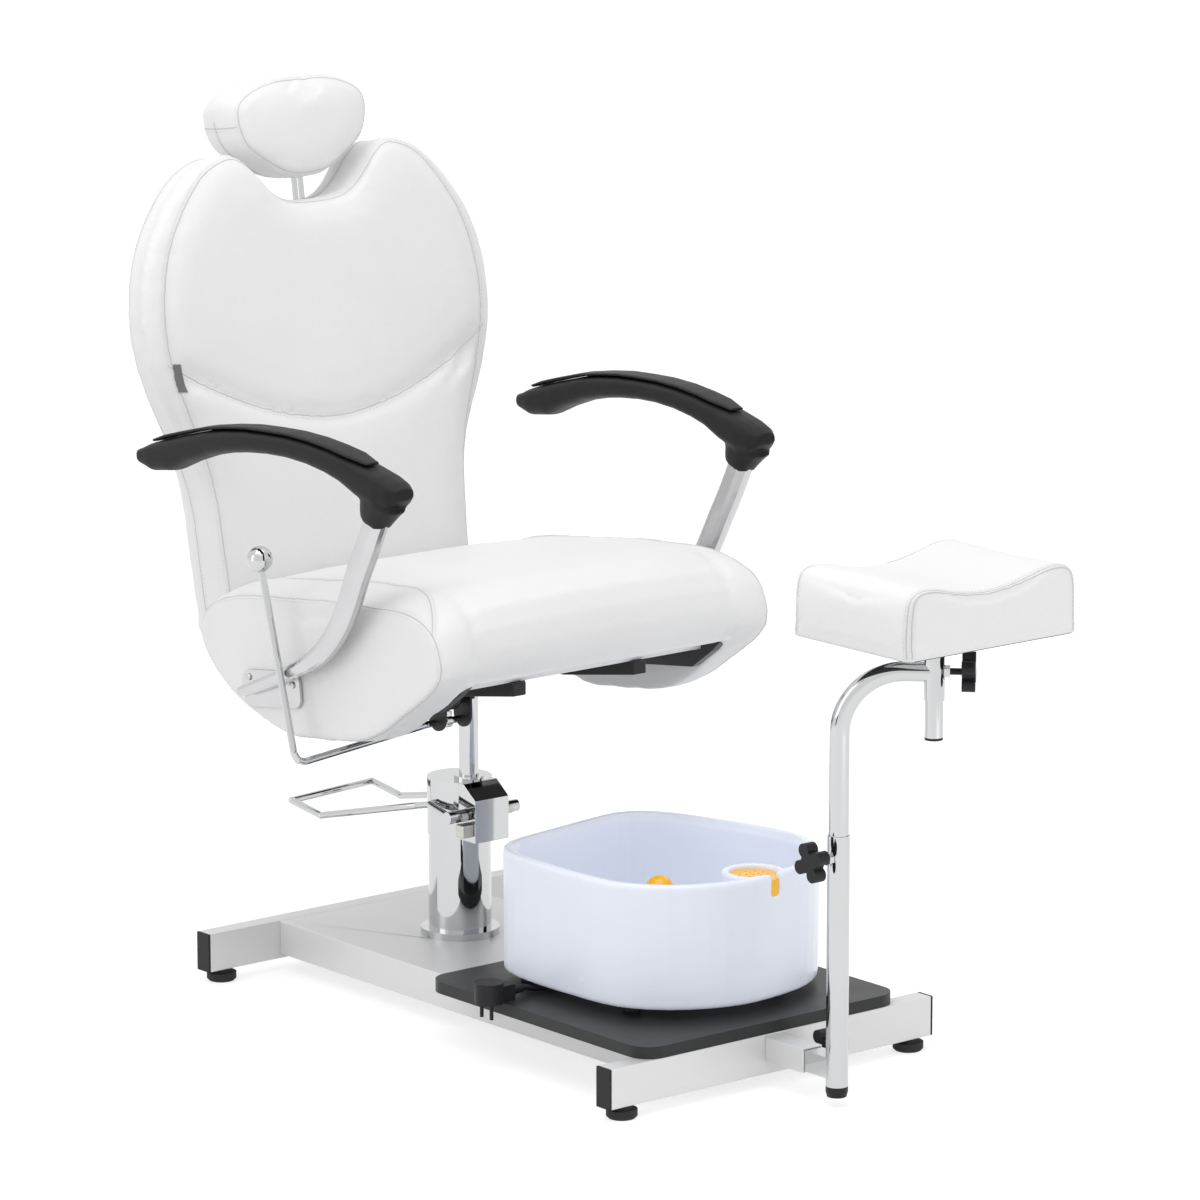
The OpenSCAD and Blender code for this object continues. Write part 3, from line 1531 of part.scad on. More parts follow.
module basin_tub() {
  inner = scaled_about(basin_outline(), [0, 0], basin_wall_share);
  color(basin_white)
    at_basin()
      difference() {
        union() {
          difference() {
            padded(basin_outline(), [0, 0], [[0.975, basin_z], [0.985, basin_z + basin_skin],
              [0.99, basin_rim_z - 2 * basin_skin], [0.985, basin_rim_z - basin_skin / 2],
              [0.97, basin_rim_z]]);
            padded(inner, [0, 0], [[0.9, basin_z + basin_floor], [0.94, basin_z + basin_floor + 10],
              [0.99, basin_rim_z - 3 * basin_skin], [1.02, basin_rim_z + cut]]);
            padded(basin_outline(), [0, 0], [[0.95, basin_z - cut],
              [0.95, basin_z + basin_floor - basin_skin]]);
          }
          intersection() {
            translate([pocket_at[0], pocket_at[1], basin_z + basin_floor - basin_skin / 2])
              cylinder(h = basin_rim_z - basin_z - basin_floor, r = pocket_r + pocket_wall,
                $fn = round_fn);
            padded(basin_outline(), [0, 0], [[0.97, basin_z], [0.97, basin_rim_z + cut]]);
          }
          translate([0, 0, basin_z + basin_floor - basin_skin / 2])
            cylinder(h = column_top - basin_floor + basin_skin / 2, d1 = column_d, d2 = roller_d,
              $fn = round_fn);
        }
        translate([pocket_at[0], pocket_at[1], basin_rim_z - pocket_deep])
          cylinder(h = pocket_deep + cut, r = pocket_r, $fn = round_fn);
        translate([pocket_at[0] - tab_w / 2 - soft_gap, pocket_at[1] - 2 * pocket_r,
          basin_rim_z - lid_down - tab_drop])
          cube([tab_w + 2 * soft_gap, 2 * pocket_r, tab_drop + lid_down + cut]);
        translate([0, 0, basin_z + column_top - roller_pin])
          cylinder(h = roller_pin + cut, d = roller_pin_d + 2 * run_gap, $fn = small_fn);
      }
}

bay_w = 180;
bay_l = 160;
bay_h = 22;

module basin_base() {
  color(basin_white)
    at_basin()
      difference() {
        union() {
          padded(basin_outline(), [0, 0], [[0.945, basin_z + soft_gap],
            [0.945, basin_z + soft_gap + basin_skin]]);
          translate([-bay_w / 2 - basin_skin, -bay_l / 2 - basin_skin, basin_z + soft_gap])
            cube([bay_w + 2 * basin_skin, bay_l + 2 * basin_skin, bay_h + basin_skin]);
        }
        translate([-bay_w / 2, -bay_l / 2, basin_z - cut])
          cube([bay_w, bay_l, bay_h + soft_gap + cut]);
        translate([-bay_w / 2, gland_v, gland_z])
          x_bar(gland_d * 0.6 + 2 * run_gap, 4 * basin_skin, small_fn);
      }
}

module basin_feet() {
  color(black)
    at_basin()
      for (s = basin_foot_places_share)
        translate([s[0] * basin_w / 2, -s[1] * basin_l / 2, spa_z])
          rotate_extrude($fn = round_fn)
            polygon([[0, 0], [basin_foot_d / 2 - basin_skin / 2, 0], [basin_foot_d / 2, basin_skin],
              [basin_foot_d * 0.42, basin_foot_h + soft_gap], [0, basin_foot_h + soft_gap]]);
}

roller_d = 36;
roller_pin = 12;
roller_pin_d = 8;

module massage_head() {
  color(orange)
    at_basin()
      translate([0, 0, basin_z + column_top + soft_gap]) {
        cylinder(h = roller_d * 0.35, d = roller_d, $fn = round_fn);
        intersection() {
          translate([0, 0, roller_d * 0.35])
            sphere(d = roller_d, $fn = round_fn);
          cylinder(h = roller_d, d = roller_d, $fn = round_fn);
        }
        translate([0, 0, soft_gap - roller_pin])
          cylinder(h = roller_pin, d = roller_pin_d, $fn = small_fn);
      }
}

lid_down = 7;
lid_t = 4;
lid_hole_d = 3;
lid_rings = [[0, 1], [9, 6], [18, 10]];

module aroma_lid() {
  color(orange)
    at_basin()
      translate([pocket_at[0], pocket_at[1], basin_rim_z - lid_down - lid_t])
        difference() {
          union() {
            cylinder(h = lid_t, r = pocket_r - soft_gap, $fn = round_fn);
            translate([-tab_w / 2, -pocket_r - pocket_wall / 2, 0])
              cube([tab_w, pocket_r, lid_t]);
            translate([-tab_w / 2, -pocket_r - pocket_wall / 2, -tab_drop + lid_t + soft_gap])
              cube([tab_w, lid_t, tab_drop - soft_gap]);
            difference() {
              translate([0, 0, -lid_seat])
                cylinder(h = lid_seat + lid_t / 2, r = pocket_r - soft_gap, $fn = round_fn);
              translate([0, 0, -lid_seat - cut])
                cylinder(h = lid_seat + lid_t, r = pocket_r - soft_gap - basin_skin / 2,
                  $fn = round_fn);
            }
          }
          for (ring = lid_rings)
            for (k = [0:ring[1] - 1])
              rotate([0, 0, 360 * k / ring[1]])
                translate([ring[0], 0, -cut])
                  cylinder(h = lid_t + 2 * cut, d = lid_hole_d, $fn = small_fn);
        }
}

lid_seat = pocket_deep - lid_down - lid_t;

// Mains cord: plug on the edge of the board, a free lead, a stored coil under the basin and a gland

gland_d = 14;
gland_l = 25;
gland_v = -44;
gland_z = basin_z + 8;
cord_sides = 8;
coil_pitch = 7.6;
coil_rise = 7;
coil_dip = 1;
coil_steps = 24;
coil_sides = 6;
coil_out = coil_r + coil_turns * coil_pitch;
coil_z = spa_z + cord_d / 2 + soft_gap / 3;
// Hand-chosen points of the lead from the plug to the coil, and from the coil to the gland
lead_route = [[-163, -330, 91], [-157, -330, 90.5], [-148, -330, 87], [-136, -330, 84.9], [-118, -330, 84.4],
  [-90, -330, 84.4], [-50, -330, 84.4], [-10, -330, 84.4], [10, -330, 84.4], [16, -330, 84.4]];
tail_route = [[16, -422, 91.4], [10, -422, 91.4], [0, -422, 91.8], [-10, -423, 93.5], [-22, -425, 97],
  [-33, -427, 100], [-40, -428, 101], [-46, -429, 101]];

// Turns so far, from 0 at the lead to the last at the tail, give the radius and height of the winding
function coil_radius(n) = n <= coil_turns ? coil_out - coil_pitch * n
  : n <= coil_turns + 0.5 ? coil_r - coil_dip * sin(360 * (n - coil_turns))
  : coil_r + coil_pitch * (n - coil_turns - 0.5);
function coil_height(n) = coil_z + coil_rise * min(1, max(0, 2 * (n - coil_turns)));
function coil_point(n) = [basin_at[0] + coil_radius(n) * sin(360 * n), basin_at[1] + coil_radius(n) * cos(360 * n),
  coil_height(n)];
coil_all = 2 * coil_turns + 0.5;
coil_path = [for (i = [0:coil_all * coil_steps]) coil_point(i / coil_steps)];
coil_gap = min([for (i = [0:3:len(coil_path) - 1]) for (j = [i + coil_steps / 2:len(coil_path) - 1])
  norm(coil_path[i] - coil_path[j])]) - cord_d;
echo(least_gap_of_the_coil = coil_gap);

module power_cord() {
  color(black) {
    swept(lead_route, cord_d / 2, cord_sides, [0, 0, 1]);
    swept(tail_route, cord_d / 2, cord_sides, [0, 0, 1]);
  }
}

module cord_coil() {
  color(black)
    swept(coil_path, cord_d / 2, coil_sides, [0, 0, 1]);
}

module cord_gland() {
  color(black)
    at_basin()
      translate([-bay_w / 2, gland_v, gland_z])
        rotate([0, 90, 0]) {
          translate([0, 0, run_gap])
            cylinder(h = gland_l, d1 = gland_d, d2 = cord_d + 2, $fn = small_fn);
          translate([0, 0, -basin_skin - run_gap])
            cylinder(h = basin_skin + 2 * run_gap, d = gland_d * 0.6, $fn = small_fn);
        }
}

plug_x = -216;
plug_y = -330;
plug_d = 36;
plug_body_h = 26;
plug_neck_w = 20;
plug_neck_end = -183;
relief_end = -163;
relief_ribs = 4;
pin_gap = 19;
pin_d = 4.8;
pin_l = 19;
pin_x = -220;

module mains_plug() {
  color(black) {
    translate([plug_x, plug_y, spa_z])
      cylinder(h = plug_body_h, d = plug_d, $fn = round_fn);
    translate([plug_x, plug_y - plug_neck_w / 2, spa_z])
      cube([plug_neck_end - plug_x, plug_neck_w, plug_neck_w]);
    translate([plug_neck_end, plug_y, spa_z + plug_neck_w / 2])
      rotate([0, 90, 0])
        cylinder(h = relief_end - plug_neck_end, d1 = plug_neck_w * 0.7, d2 = cord_d + 2, $fn = small_fn);
    for (i = [1:relief_ribs])
      translate([plug_neck_end + (relief_end - plug_neck_end) * (i - 0.5) / relief_ribs, plug_y,
        spa_z + plug_neck_w / 2])
        x_bar(plug_neck_w * 0.72 - i, basin_skin / 2, small_fn);
  }
  color(chrome_grey)
    for (s = [-1, 1])
      translate([pin_x, plug_y + s * pin_gap / 2, spa_z - pin_l])
        cylinder(h = pin_l + cut, d = pin_d, $fn = small_fn);
}

chair() rear_cross_tube();
chair() front_cross_tube();
chair() tube_end_caps();
chair() rubber_feet();
chair() base_platform();
chair() footrest_receiver();
chair() pump_flange();
chair() base_bolts();
chair() pump_cylinder();
chair() pump_head();
chair() pump_housing();
chair() pedal_stop();
chair() pump_pedal();
chair() pedal_bolts();
chair() piston_rod();
chair() seat_mount_channel();
chair() mount_bolts();
chair() seat_frame();
chair() seat_board();
chair() seat_cushion();
chair() side_bolsters();
chair() bolster_panels();
chair() armrest_frames();
chair() armrest_screws();
chair() armpad_bases();
chair() armpad_tops();
chair() recline_bracket();
chair() hinge_bolts();
chair() recline_lever();
chair() strut_cylinder();
chair() strut_rod();
chair() backrest_arms();
chair() backrest_cushion();
chair() backrest_board();
chair() backrest_rear_cover();
chair() headrest_guide();
chair() headrest_bar();
chair() headrest_cushion();
chair() footrest_bar();
chair() footrest_post();
chair() post_foot_cap();
chair() post_plug();
chair() footrest_arm();
chair() stem_plug();
chair() pad_stem();
chair() pad_board();
chair() pad_cushion();
chair() post_knob();
chair() sleeve_knob();
chair() bar_knob();
chair() spa_board();
chair() basin_tub();
chair() basin_base();
chair() basin_feet();
chair() massage_head();
chair() aroma_lid();
chair() cord_gland();
chair() power_cord();
chair() cord_coil();
chair() mains_plug();
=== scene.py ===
# %% [markdown]
# # A salon chair with a foot bath
# The steel, the tubes and the plastic parts come from a finished CAD model, which is loaded here as a
# fixed frame in metres. What is left for this notebook is what a CAD solid can't say: leather that is
# stretched over foam, sewn seams, chrome, paint, rubber, and the studio round the chair.

# %% Load the frame
import json
import math

import bmesh
import bpy
import numpy as np
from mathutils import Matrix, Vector
from mathutils.bvhtree import BVHTree
from mathutils.kdtree import KDTree


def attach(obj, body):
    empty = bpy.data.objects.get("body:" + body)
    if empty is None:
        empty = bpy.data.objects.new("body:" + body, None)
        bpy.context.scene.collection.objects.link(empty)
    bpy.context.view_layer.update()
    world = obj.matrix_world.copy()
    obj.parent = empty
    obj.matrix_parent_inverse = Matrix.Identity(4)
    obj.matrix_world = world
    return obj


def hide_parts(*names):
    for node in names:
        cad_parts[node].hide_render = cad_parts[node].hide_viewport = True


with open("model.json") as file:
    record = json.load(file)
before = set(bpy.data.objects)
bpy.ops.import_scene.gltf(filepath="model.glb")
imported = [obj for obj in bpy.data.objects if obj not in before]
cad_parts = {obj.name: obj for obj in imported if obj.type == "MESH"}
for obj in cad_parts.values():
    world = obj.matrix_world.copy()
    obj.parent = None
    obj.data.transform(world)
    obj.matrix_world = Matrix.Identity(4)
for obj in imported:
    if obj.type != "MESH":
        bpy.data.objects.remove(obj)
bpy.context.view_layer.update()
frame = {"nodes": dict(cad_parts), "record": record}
scene = bpy.context.scene
print("pieces in the frame:", len(frame["nodes"]))

# %% [markdown]
# ## The camera
# The chair was photographed from a little above the seat with a long lens, which keeps upright tubes
# upright. A long lens far away does the same here: 194 mm on a 36 mm sensor, eight metres off.

# %% Camera
eye = bpy.data.objects.new("eye", bpy.data.cameras.new("eye"))
scene.collection.objects.link(eye)
eye.location = (-4.9586, -6.0404, 2.1985)
eye.rotation_euler = (math.radians(90 - 11.991), 0, math.radians(-39.547))
eye.data.sensor_width = 36
eye.data.lens = 194.46
scene.camera = eye
print("camera at", [round(v, 2) for v in eye.location])

# %% [markdown]
# ## Curves through a few points
# Outlines of cushions and the line of the cord are known at a few places only. A Catmull-Rom curve
# passes through all of them and needs no handles, so the same few numbers always give the same line.
# Lengths are written in millimetres, as a chair maker would, and turned into metres at the end.

# %% Smooth lines
PUMP_SET = 245.0    # the pump's axis stands this far behind the middle of the base, in millimetres


def between(a, b, c, d, t):
    """The point a share t of the way from b to c, on a smooth line through a, b, c and d."""
    bend = (2 * a - 5 * b + 4 * c - d) * t ** 2
    sway = (3 * b - a - 3 * c + d) * t ** 3
    return 0.5 * (2 * b + (c - a) * t + bend + sway)


LINE_STEPS = 6


def smooth_line(points, steps, round_trip=False):
    """The points, with more put between them so that the line has no corners."""
    p = np.array(points, float)
    count = len(p)
    line = []
    for i in range(count if round_trip else count - 1):
        places = [k % count if round_trip else min(max(k, 0), count - 1) for k in range(i - 1, i + 3)]
        line += [between(*p[places], step / steps) for step in range(steps)]
    return np.array(line if round_trip else line + [p[-1]])


def mirrored(half):
    """The right half of an outline and its mirror image, as one closed outline."""
    return list(half) + [(-x, y) for x, y in reversed(half) if abs(x) > 0]


def even_steps(line, step):
    """The same line with its points a step apart."""
    line = np.array(line, float)
    run = np.concatenate([[0], np.cumsum(np.linalg.norm(np.diff(line, axis=0), axis=1))])
    places = np.linspace(0, run[-1], max(2, int(run[-1] / step) + 1))
    return np.array([[np.interp(s, run, line[:, k]) for k in range(line.shape[1])] for s in places])


def set_back(points):
    """Millimetres from the pump's axis become metres in the frame."""
    return (np.array(points, float) + [0, PUMP_SET, 0]) / 1000


four_corners = [(1, 0), (0, 1), (-1, 0), (0, -1)]
print("a closed line through four corners gets", len(smooth_line(four_corners, 8, True)), "points")

# %% [markdown]
# ## The mains cord
# The foot bath has a heater, so a lead leaves a gland under its left side. Only the plug and a few
# centimetres show in front of the board; the rest is put away as a flat coil under the bath. A real
# lead of this kind is about a metre and a half long. It could be a simulated rope, but a coil that
# lies still is a known shape, and a curve through given points stays exactly in its place.

# %% Cord
COIL_TURNS = 2.5
CORD_THICK = 0.0065
CORD_SIDES = 3
COIL_STEPS = 48
coil_middle = (16.0, -376.0)
coil_pitch = 7.6
coil_inner = 27.0
coil_outer = coil_inner + COIL_TURNS * coil_pitch
coil_low = 84.35
coil_rise = 7.0
lead = [(-163, -330, 91), (-157, -330, 90.5), (-148, -330, 87), (-136, -330, 84.9), (-118, -330, 84.4),
        (-90, -330, 84.4), (-50, -330, 84.4), (-10, -330, 84.4), (10, -330, 84.4)]
tail = [(10, -422, 91.4), (0, -422, 91.8), (-10, -423, 93.5), (-22, -425, 97), (-33, -427, 100),
        (-40, -428, 101), (-46, -429, 101)]


def coil_point(turns):
    """A point of the coil, in turns from its start: in along the lower layer, out on the upper one."""
    if turns <= COIL_TURNS:
        radius = coil_outer - coil_pitch * turns
    elif turns <= COIL_TURNS + 0.5:
        radius = coil_inner - math.sin(2 * math.pi * (turns - COIL_TURNS))
    else:
        radius = coil_inner + coil_pitch * (turns - COIL_TURNS - 0.5)
    turn = 2 * math.pi * turns
    height = coil_low + coil_rise * min(1, max(0, 2 * (turns - COIL_TURNS)))
    return (coil_middle[0] + radius * math.sin(turn), coil_middle[1] + radius * math.cos(turn), height)


coil = [coil_point(k / COIL_STEPS) for k in range(int(COIL_STEPS * (2 * COIL_TURNS + 0.5)) + 1)]
cord_line = np.concatenate([smooth_line(lead, 3)[:-1], coil[1:-1], smooth_line(tail, 3)])
cord_line = set_back(cord_line)[::-1]
wire = bpy.data.curves.new("mains_lead", "CURVE")
wire.dimensions = "3D"
wire.bevel_depth = CORD_THICK / 2
wire.bevel_resolution = CORD_SIDES
run = wire.splines.new("POLY")
run.points.add(len(cord_line) - 1)
for place, point in zip(run.points, cord_line):
    place.co = (*point, 1)
mains_lead = bpy.data.objects.new("mains_lead", wire)
scene.collection.objects.link(mains_lead)
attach(mains_lead, "base")
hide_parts("power_cord", "cord_coil")

# %% [markdown]
# ## The studio
# The photograph has a white sweep under flat, soft light. A world that glows evenly gives most of that
# light, and three lamps add a little from above, the left and the front, so that tops are brightest.
# The floor stays white for the camera by glowing a little itself, and still darkens where the chair
# keeps light from it.

# %% Sockets as numbers
class Signal:
    """One socket in a material's tree. Sums on it add Math nodes, so that a recipe reads as a sum."""

    def __init__(self, tree, socket):
        self.tree = tree
        self.socket = socket

    def worked(self, operation, *values):
        step = self.tree.nodes.new("ShaderNodeMath")
        step.operation = operation
        for place, value in zip(step.inputs, values):
            feed(self.tree, place, value)
        return Signal(self.tree, step.outputs[0])

    def __add__(self, other):
        return self.worked("ADD", self, other)

    def __radd__(self, other):
        return self.worked("ADD", other, self)

    def __mul__(self, other):
        return self.worked("MULTIPLY", self, other)

    def __rmul__(self, other):
        return self.worked("MULTIPLY", other, self)

    def most(self, other):
        """The larger of two signals."""
        return self.worked("MAXIMUM", self, other)


def feed(tree, place, value):
    """Links a signal to a socket, or writes a plain value on it."""
    if isinstance(value, Signal):
        tree.links.new(value.socket, place)
    elif isinstance(value, (tuple, list)) and len(value) == 3 and place.type == "RGBA":
        place.default_value = (*value, 1)
    else:
        place.default_value = value


print("signals add and multiply, and the larger of two can be taken")

# %% Trees of nodes
class Tree:
    """A node tree with one way to add any node: its kind, its settings, then its sockets."""

    def __init__(self, owner):
        owner.use_nodes = True
        self.owner = owner
        self.tree = owner.node_tree
        self.tree.nodes.clear()

    def node(self, kind, settings=None, sockets=None, out=0):
        made = self.tree.nodes.new(kind)
        for name, value in (settings or {}).items():
            setattr(made, name, value)
        for name, value in (sockets or {}).items():
            feed(self.tree, made.inputs[name], value)
        return Signal(self.tree, made.outputs[out]) if len(made.outputs) else None

    def tint(self, base, other, share):
        """A colour that goes from base to other with the share."""
        return self.node("ShaderNodeMix", {"data_type": "RGBA"}, {0: share, 6: base, 7: other}, out=2)

    def place(self):
        """Where the point is on the piece itself, in metres, at rest and in every pose."""
        return self.node("ShaderNodeTexCoord", out="Object")

    def clouds(self, scale, detail=2.0, rough=0.5, stretch=None):
        where = self.place()
        if stretch:
            where = self.node("ShaderNodeMapping", sockets={"Vector": where, "Scale": stretch})
        return self.node("ShaderNodeTexNoise",
                         sockets={"Vector": where, "Scale": scale, "Detail": detail, "Roughness": rough})

    def cells(self, scale, feature="F1"):
        return self.node("ShaderNodeTexVoronoi", {"feature": feature},
                         {"Vector": self.place(), "Scale": scale})

    def bump(self, height, depth, strength):
        return self.node("ShaderNodeBump",
                         sockets={"Height": height, "Distance": depth, "Strength": strength})

    def finish(self, **sockets):
        """A Principled surface. Underscores in the names stand for spaces."""
        surface = self.node("ShaderNodeBsdfPrincipled",
                            sockets={name.replace("_", " "): value for name, value in sockets.items()})
        self.node("ShaderNodeOutputMaterial", sockets={"Surface": surface})
        return self.owner


print("one method adds every kind of node")

# %% Floor, backdrop and world
FAR = 40.0
WHITE = (1, 1, 1)
scene.view_settings.view_transform = "Standard"
floor = bpy.data.objects.new("studio_floor", bpy.data.meshes.new("studio_floor"))
floor.data.from_pydata([(-FAR, -FAR, 0), (FAR, -FAR, 0), (FAR, FAR, 0), (-FAR, FAR, 0)],
                       [], [(0, 1, 2, 3)])
scene.collection.objects.link(floor)


def seen_directly(tree):
    """1 for what the camera sees, also in metal and through glass, and 0 for light that bounces."""
    camera, mirror, glass = [tree.node("ShaderNodeLightPath", out=name)
                             for name in ("Is Camera Ray", "Is Glossy Ray", "Is Transmission Ray")]
    return camera.most(mirror).most(glass)


sweep = Tree(bpy.data.materials.new("studio_floor"))
glow = sweep.node("ShaderNodeEmission", sockets={"Color": WHITE, "Strength": 0.70})
matt = sweep.node("ShaderNodeBsdfDiffuse", sockets={"Color": (0.46, 0.46, 0.46)})
white = sweep.node("ShaderNodeAddShader", sockets={0: glow, 1: matt})
plain = sweep.node("ShaderNodeBsdfDiffuse", sockets={"Color": (0.72, 0.72, 0.72)})
shown = sweep.node("ShaderNodeMixShader", sockets={0: seen_directly(sweep), 1: plain, 2: white})
sweep.node("ShaderNodeOutputMaterial", sockets={"Surface": shown})
floor.data.materials.append(sweep.owner)

sky = Tree(bpy.data.worlds.new("studio"))
scene.world = sky.owner
soft = sky.node("ShaderNodeBackground", sockets={"Color": WHITE, "Strength": 0.76})
bright = sky.node("ShaderNodeBackground", sockets={"Color": WHITE, "Strength": 1.0})
both = sky.node("ShaderNodeMixShader", sockets={0: seen_directly(sky), 1: soft, 2: bright})
sky.node("ShaderNodeOutputWorld", sockets={"Surface": both})
print("floor and world are white")


# %% Lamps and flags
CHAIR_MIDDLE = Vector((0, 0, 0.55))


def aimed(thing):
    """Turns a lamp or a flag to face the chair."""
    thing.rotation_euler = (CHAIR_MIDDLE - thing.location).to_track_quat("-Z", "Y").to_euler()


def softbox(name, place, size, power):
    lamp = bpy.data.lights.new(name, "AREA")
    lamp.shape = "RECTANGLE"
    lamp.size, lamp.size_y = size
    lamp.energy = power
    made = bpy.data.objects.new(name, lamp)
    scene.collection.objects.link(made)
    made.location = place
    aimed(made)
    return made


softbox("top_light", (-0.6, -0.4, 3.6), (3.2, 3.2), 46)
softbox("left_light", (-3.6, 0.9, 1.7), (2.4, 2.4), 22)
low_light = softbox("front_light", (0.5, -2.6, 0.25), (1.6, 0.9), 10)
low_light.visible_glossy = False

dark = Tree(bpy.data.materials.new("studio_flag"))
dark.node("ShaderNodeOutputMaterial",
          sockets={"Surface": dark.node("ShaderNodeBsdfDiffuse", sockets={"Color": (0.01, 0.01, 0.01)})})


def flag(name, place, wide, high):
    """A black card that shows in polished metal only, where it draws the dark lines chrome needs."""
    card = bpy.data.objects.new(name, bpy.data.meshes.new(name))
    card.data.from_pydata([(-wide / 2, -high / 2, 0), (wide / 2, -high / 2, 0), (wide / 2, high / 2, 0),
                           (-wide / 2, high / 2, 0)], [], [(0, 1, 2, 3)])
    card.data.materials.append(dark.owner)
    scene.collection.objects.link(card)
    card.location = place
    aimed(card)
    card.visible_camera = False
    card.visible_diffuse = False
    card.visible_shadow = False


flag("flag_left", (-4.2, 0.2, 1.4), 0.85, 4.0)
flag("flag_front", (-0.4, -4.4, 1.4), 0.9, 4.0)
flag("flag_right", (4.0, -1.5, 1.4), 1.5, 4.0)
flag("flag_above", (-1.6, -3.4, 4.2), 3.4, 1.6)
print("three lamps and four flags")

# %% [markdown]
# ## Finishes
# Each finish is a small recipe: a base colour that is never quite even, a roughness that changes where
# hands and cloths touch, and a bump for the grain. The patterns are solid ones that fill space, so
# they need no unwrapping and a seam never shows.

# %% Leather
def darker(colour, share):
    return tuple(c * share for c in colour)


def leather(name, colour):
    """Coated leather: a fine pebble with pores, and painted shade that makes it a little darker where a
    seam draws it in.
    """
    t = Tree(bpy.data.materials.new(name))
    pebble = t.cells(520, "SMOOTH_F1")
    pores = t.clouds(1900, 2)
    drift = t.clouds(9, 3)
    crease = t.node("ShaderNodeAttribute", {"attribute_name": "crease"}, out="Fac")
    # Painted shade: the leather's colour is darkened near the seams, where the crease lies in shadow.
    shade = drift * 0.35 + pebble * 0.15 + crease * 0.5
    return t.finish(Base_Color=t.tint(colour, darker(colour, 0.86), shade),
                    Roughness=0.36 + drift * 0.14 + crease * 0.2,
                    Normal=t.bump(pebble + pores * 0.35, 0.0005, 0.35), Specular_IOR_Level=0.4)


print("leather:", leather("white_leather", (0.86, 0.86, 0.86)).name)

# %% [markdown]
# ## Four metals
# The pump and the tubes of the leg rest are chromed, the arm tubes have a satin chrome, the base is
# painted silver, and the screws are zinc plated. All are grey, so roughness tells them apart: a mirror
# has almost none. A picture of chrome could be wrapped round them, but its lines would not move.


# %% Metals
def polished(name, colour):
    """Chrome: a clean mirror with faint wipe marks and a trace of waviness from the buffing wheel."""
    t = Tree(bpy.data.materials.new(name))
    wipes = t.clouds(38, 3, stretch=(1, 1, 0.35))
    bloom = t.clouds(14, 2)
    return t.finish(Base_Color=t.tint(colour, darker(colour, 0.93), bloom), Metallic=1.0,
                    Roughness=0.03 + wipes * 0.03, Normal=t.bump(bloom, 0.0012, 0.02))


def brushed(name, colour, rough):
    """Satin chrome, drawn along its length, so that it reflects softly."""
    t = Tree(bpy.data.materials.new(name))
    lines = t.clouds(240, 3, stretch=(1, 0.12, 0.12))
    bloom = t.clouds(12, 2)
    return t.finish(Base_Color=t.tint(colour, darker(colour, 0.9), lines), Metallic=1.0,
                    Roughness=rough + lines * 0.1 + bloom * 0.05, Normal=t.bump(lines, 0.0002, 0.15))


def silver_paint(name, colour):
    """Silver stove paint on steel: fine flakes in a satin coat, scuffed a little."""
    t = Tree(bpy.data.materials.new(name))
    flakes = t.cells(2600)
    haze = t.clouds(7, 4)
    peel = t.clouds(420, 2)
    return t.finish(Base_Color=t.tint(colour, darker(colour, 0.9), flakes * 0.5 + haze * 0.4),
                    Metallic=0.35, Roughness=0.34 + haze * 0.12, Normal=t.bump(peel, 0.0003, 0.12))


def plated(name, colour):
    """Zinc plating on screws and nuts, with a slightly yellow bloom."""
    t = Tree(bpy.data.materials.new(name))
    bloom = t.clouds(160, 3)
    yellowed = (colour[0] * 0.8, colour[1] * 0.78, colour[2] * 0.7)
    return t.finish(Base_Color=t.tint(colour, yellowed, bloom), Metallic=1.0,
                    Roughness=0.32 + bloom * 0.16, Normal=t.bump(bloom, 0.0002, 0.2))


print("four metals")

# %% [markdown]
# ## Plastic, rubber and board
# Dull black things differ in two numbers only, how rough they are and how coarse their grain is, so one
# recipe serves them all. The bath and the orange parts are glossy and let some light through. Real
# scattering inside the plastic would show that best, but it is slow, so a faint glow stands in for it:
# painted light.


# %% Plastics, rubber and board
def coated(name, colour, rough, grain, depth, shine=0.3):
    """Paint, plastic and rubber differ in how rough they are and how coarse and deep their grain is."""
    t = Tree(bpy.data.materials.new(name))
    fine = t.clouds(grain, 3)
    dust = t.clouds(24, 3)
    lighter = tuple(c * 1.3 + 0.003 for c in colour)
    return t.finish(Base_Color=t.tint(colour, lighter, dust * 0.6 + fine * 0.3),
                    Roughness=rough + dust * 0.12, Specular_IOR_Level=shine,
                    Normal=t.bump(fine, depth, 0.3))


def clear_moulded(name, colour, rough, glow):
    """Glossy moulded plastic with soft flow marks. The glow is painted light, standing in for the light
    that seeps through it.
    """
    t = Tree(bpy.data.materials.new(name))
    flow = t.clouds(11, 2)
    orange_peel = t.clouds(150, 2)
    return t.finish(Base_Color=t.tint(colour, darker(colour, 0.95), flow),
                    Roughness=rough + flow * 0.1, Normal=t.bump(orange_peel, 0.0004, 0.1),
                    Emission_Color=colour, Emission_Strength=glow)


def plywood(name, colour):
    """Birch ply: long rays of grain, a little darker between the years."""
    t = Tree(bpy.data.materials.new(name))
    rays = t.clouds(70, 5, 0.6, stretch=(1, 0.08, 3))
    knots = t.clouds(9, 3)
    return t.finish(Base_Color=t.tint(colour, darker(colour, 0.6), rays * 0.7 + knots * 0.3),
                    Roughness=0.6 + rays * 0.2, Normal=t.bump(rays, 0.0004, 0.3))


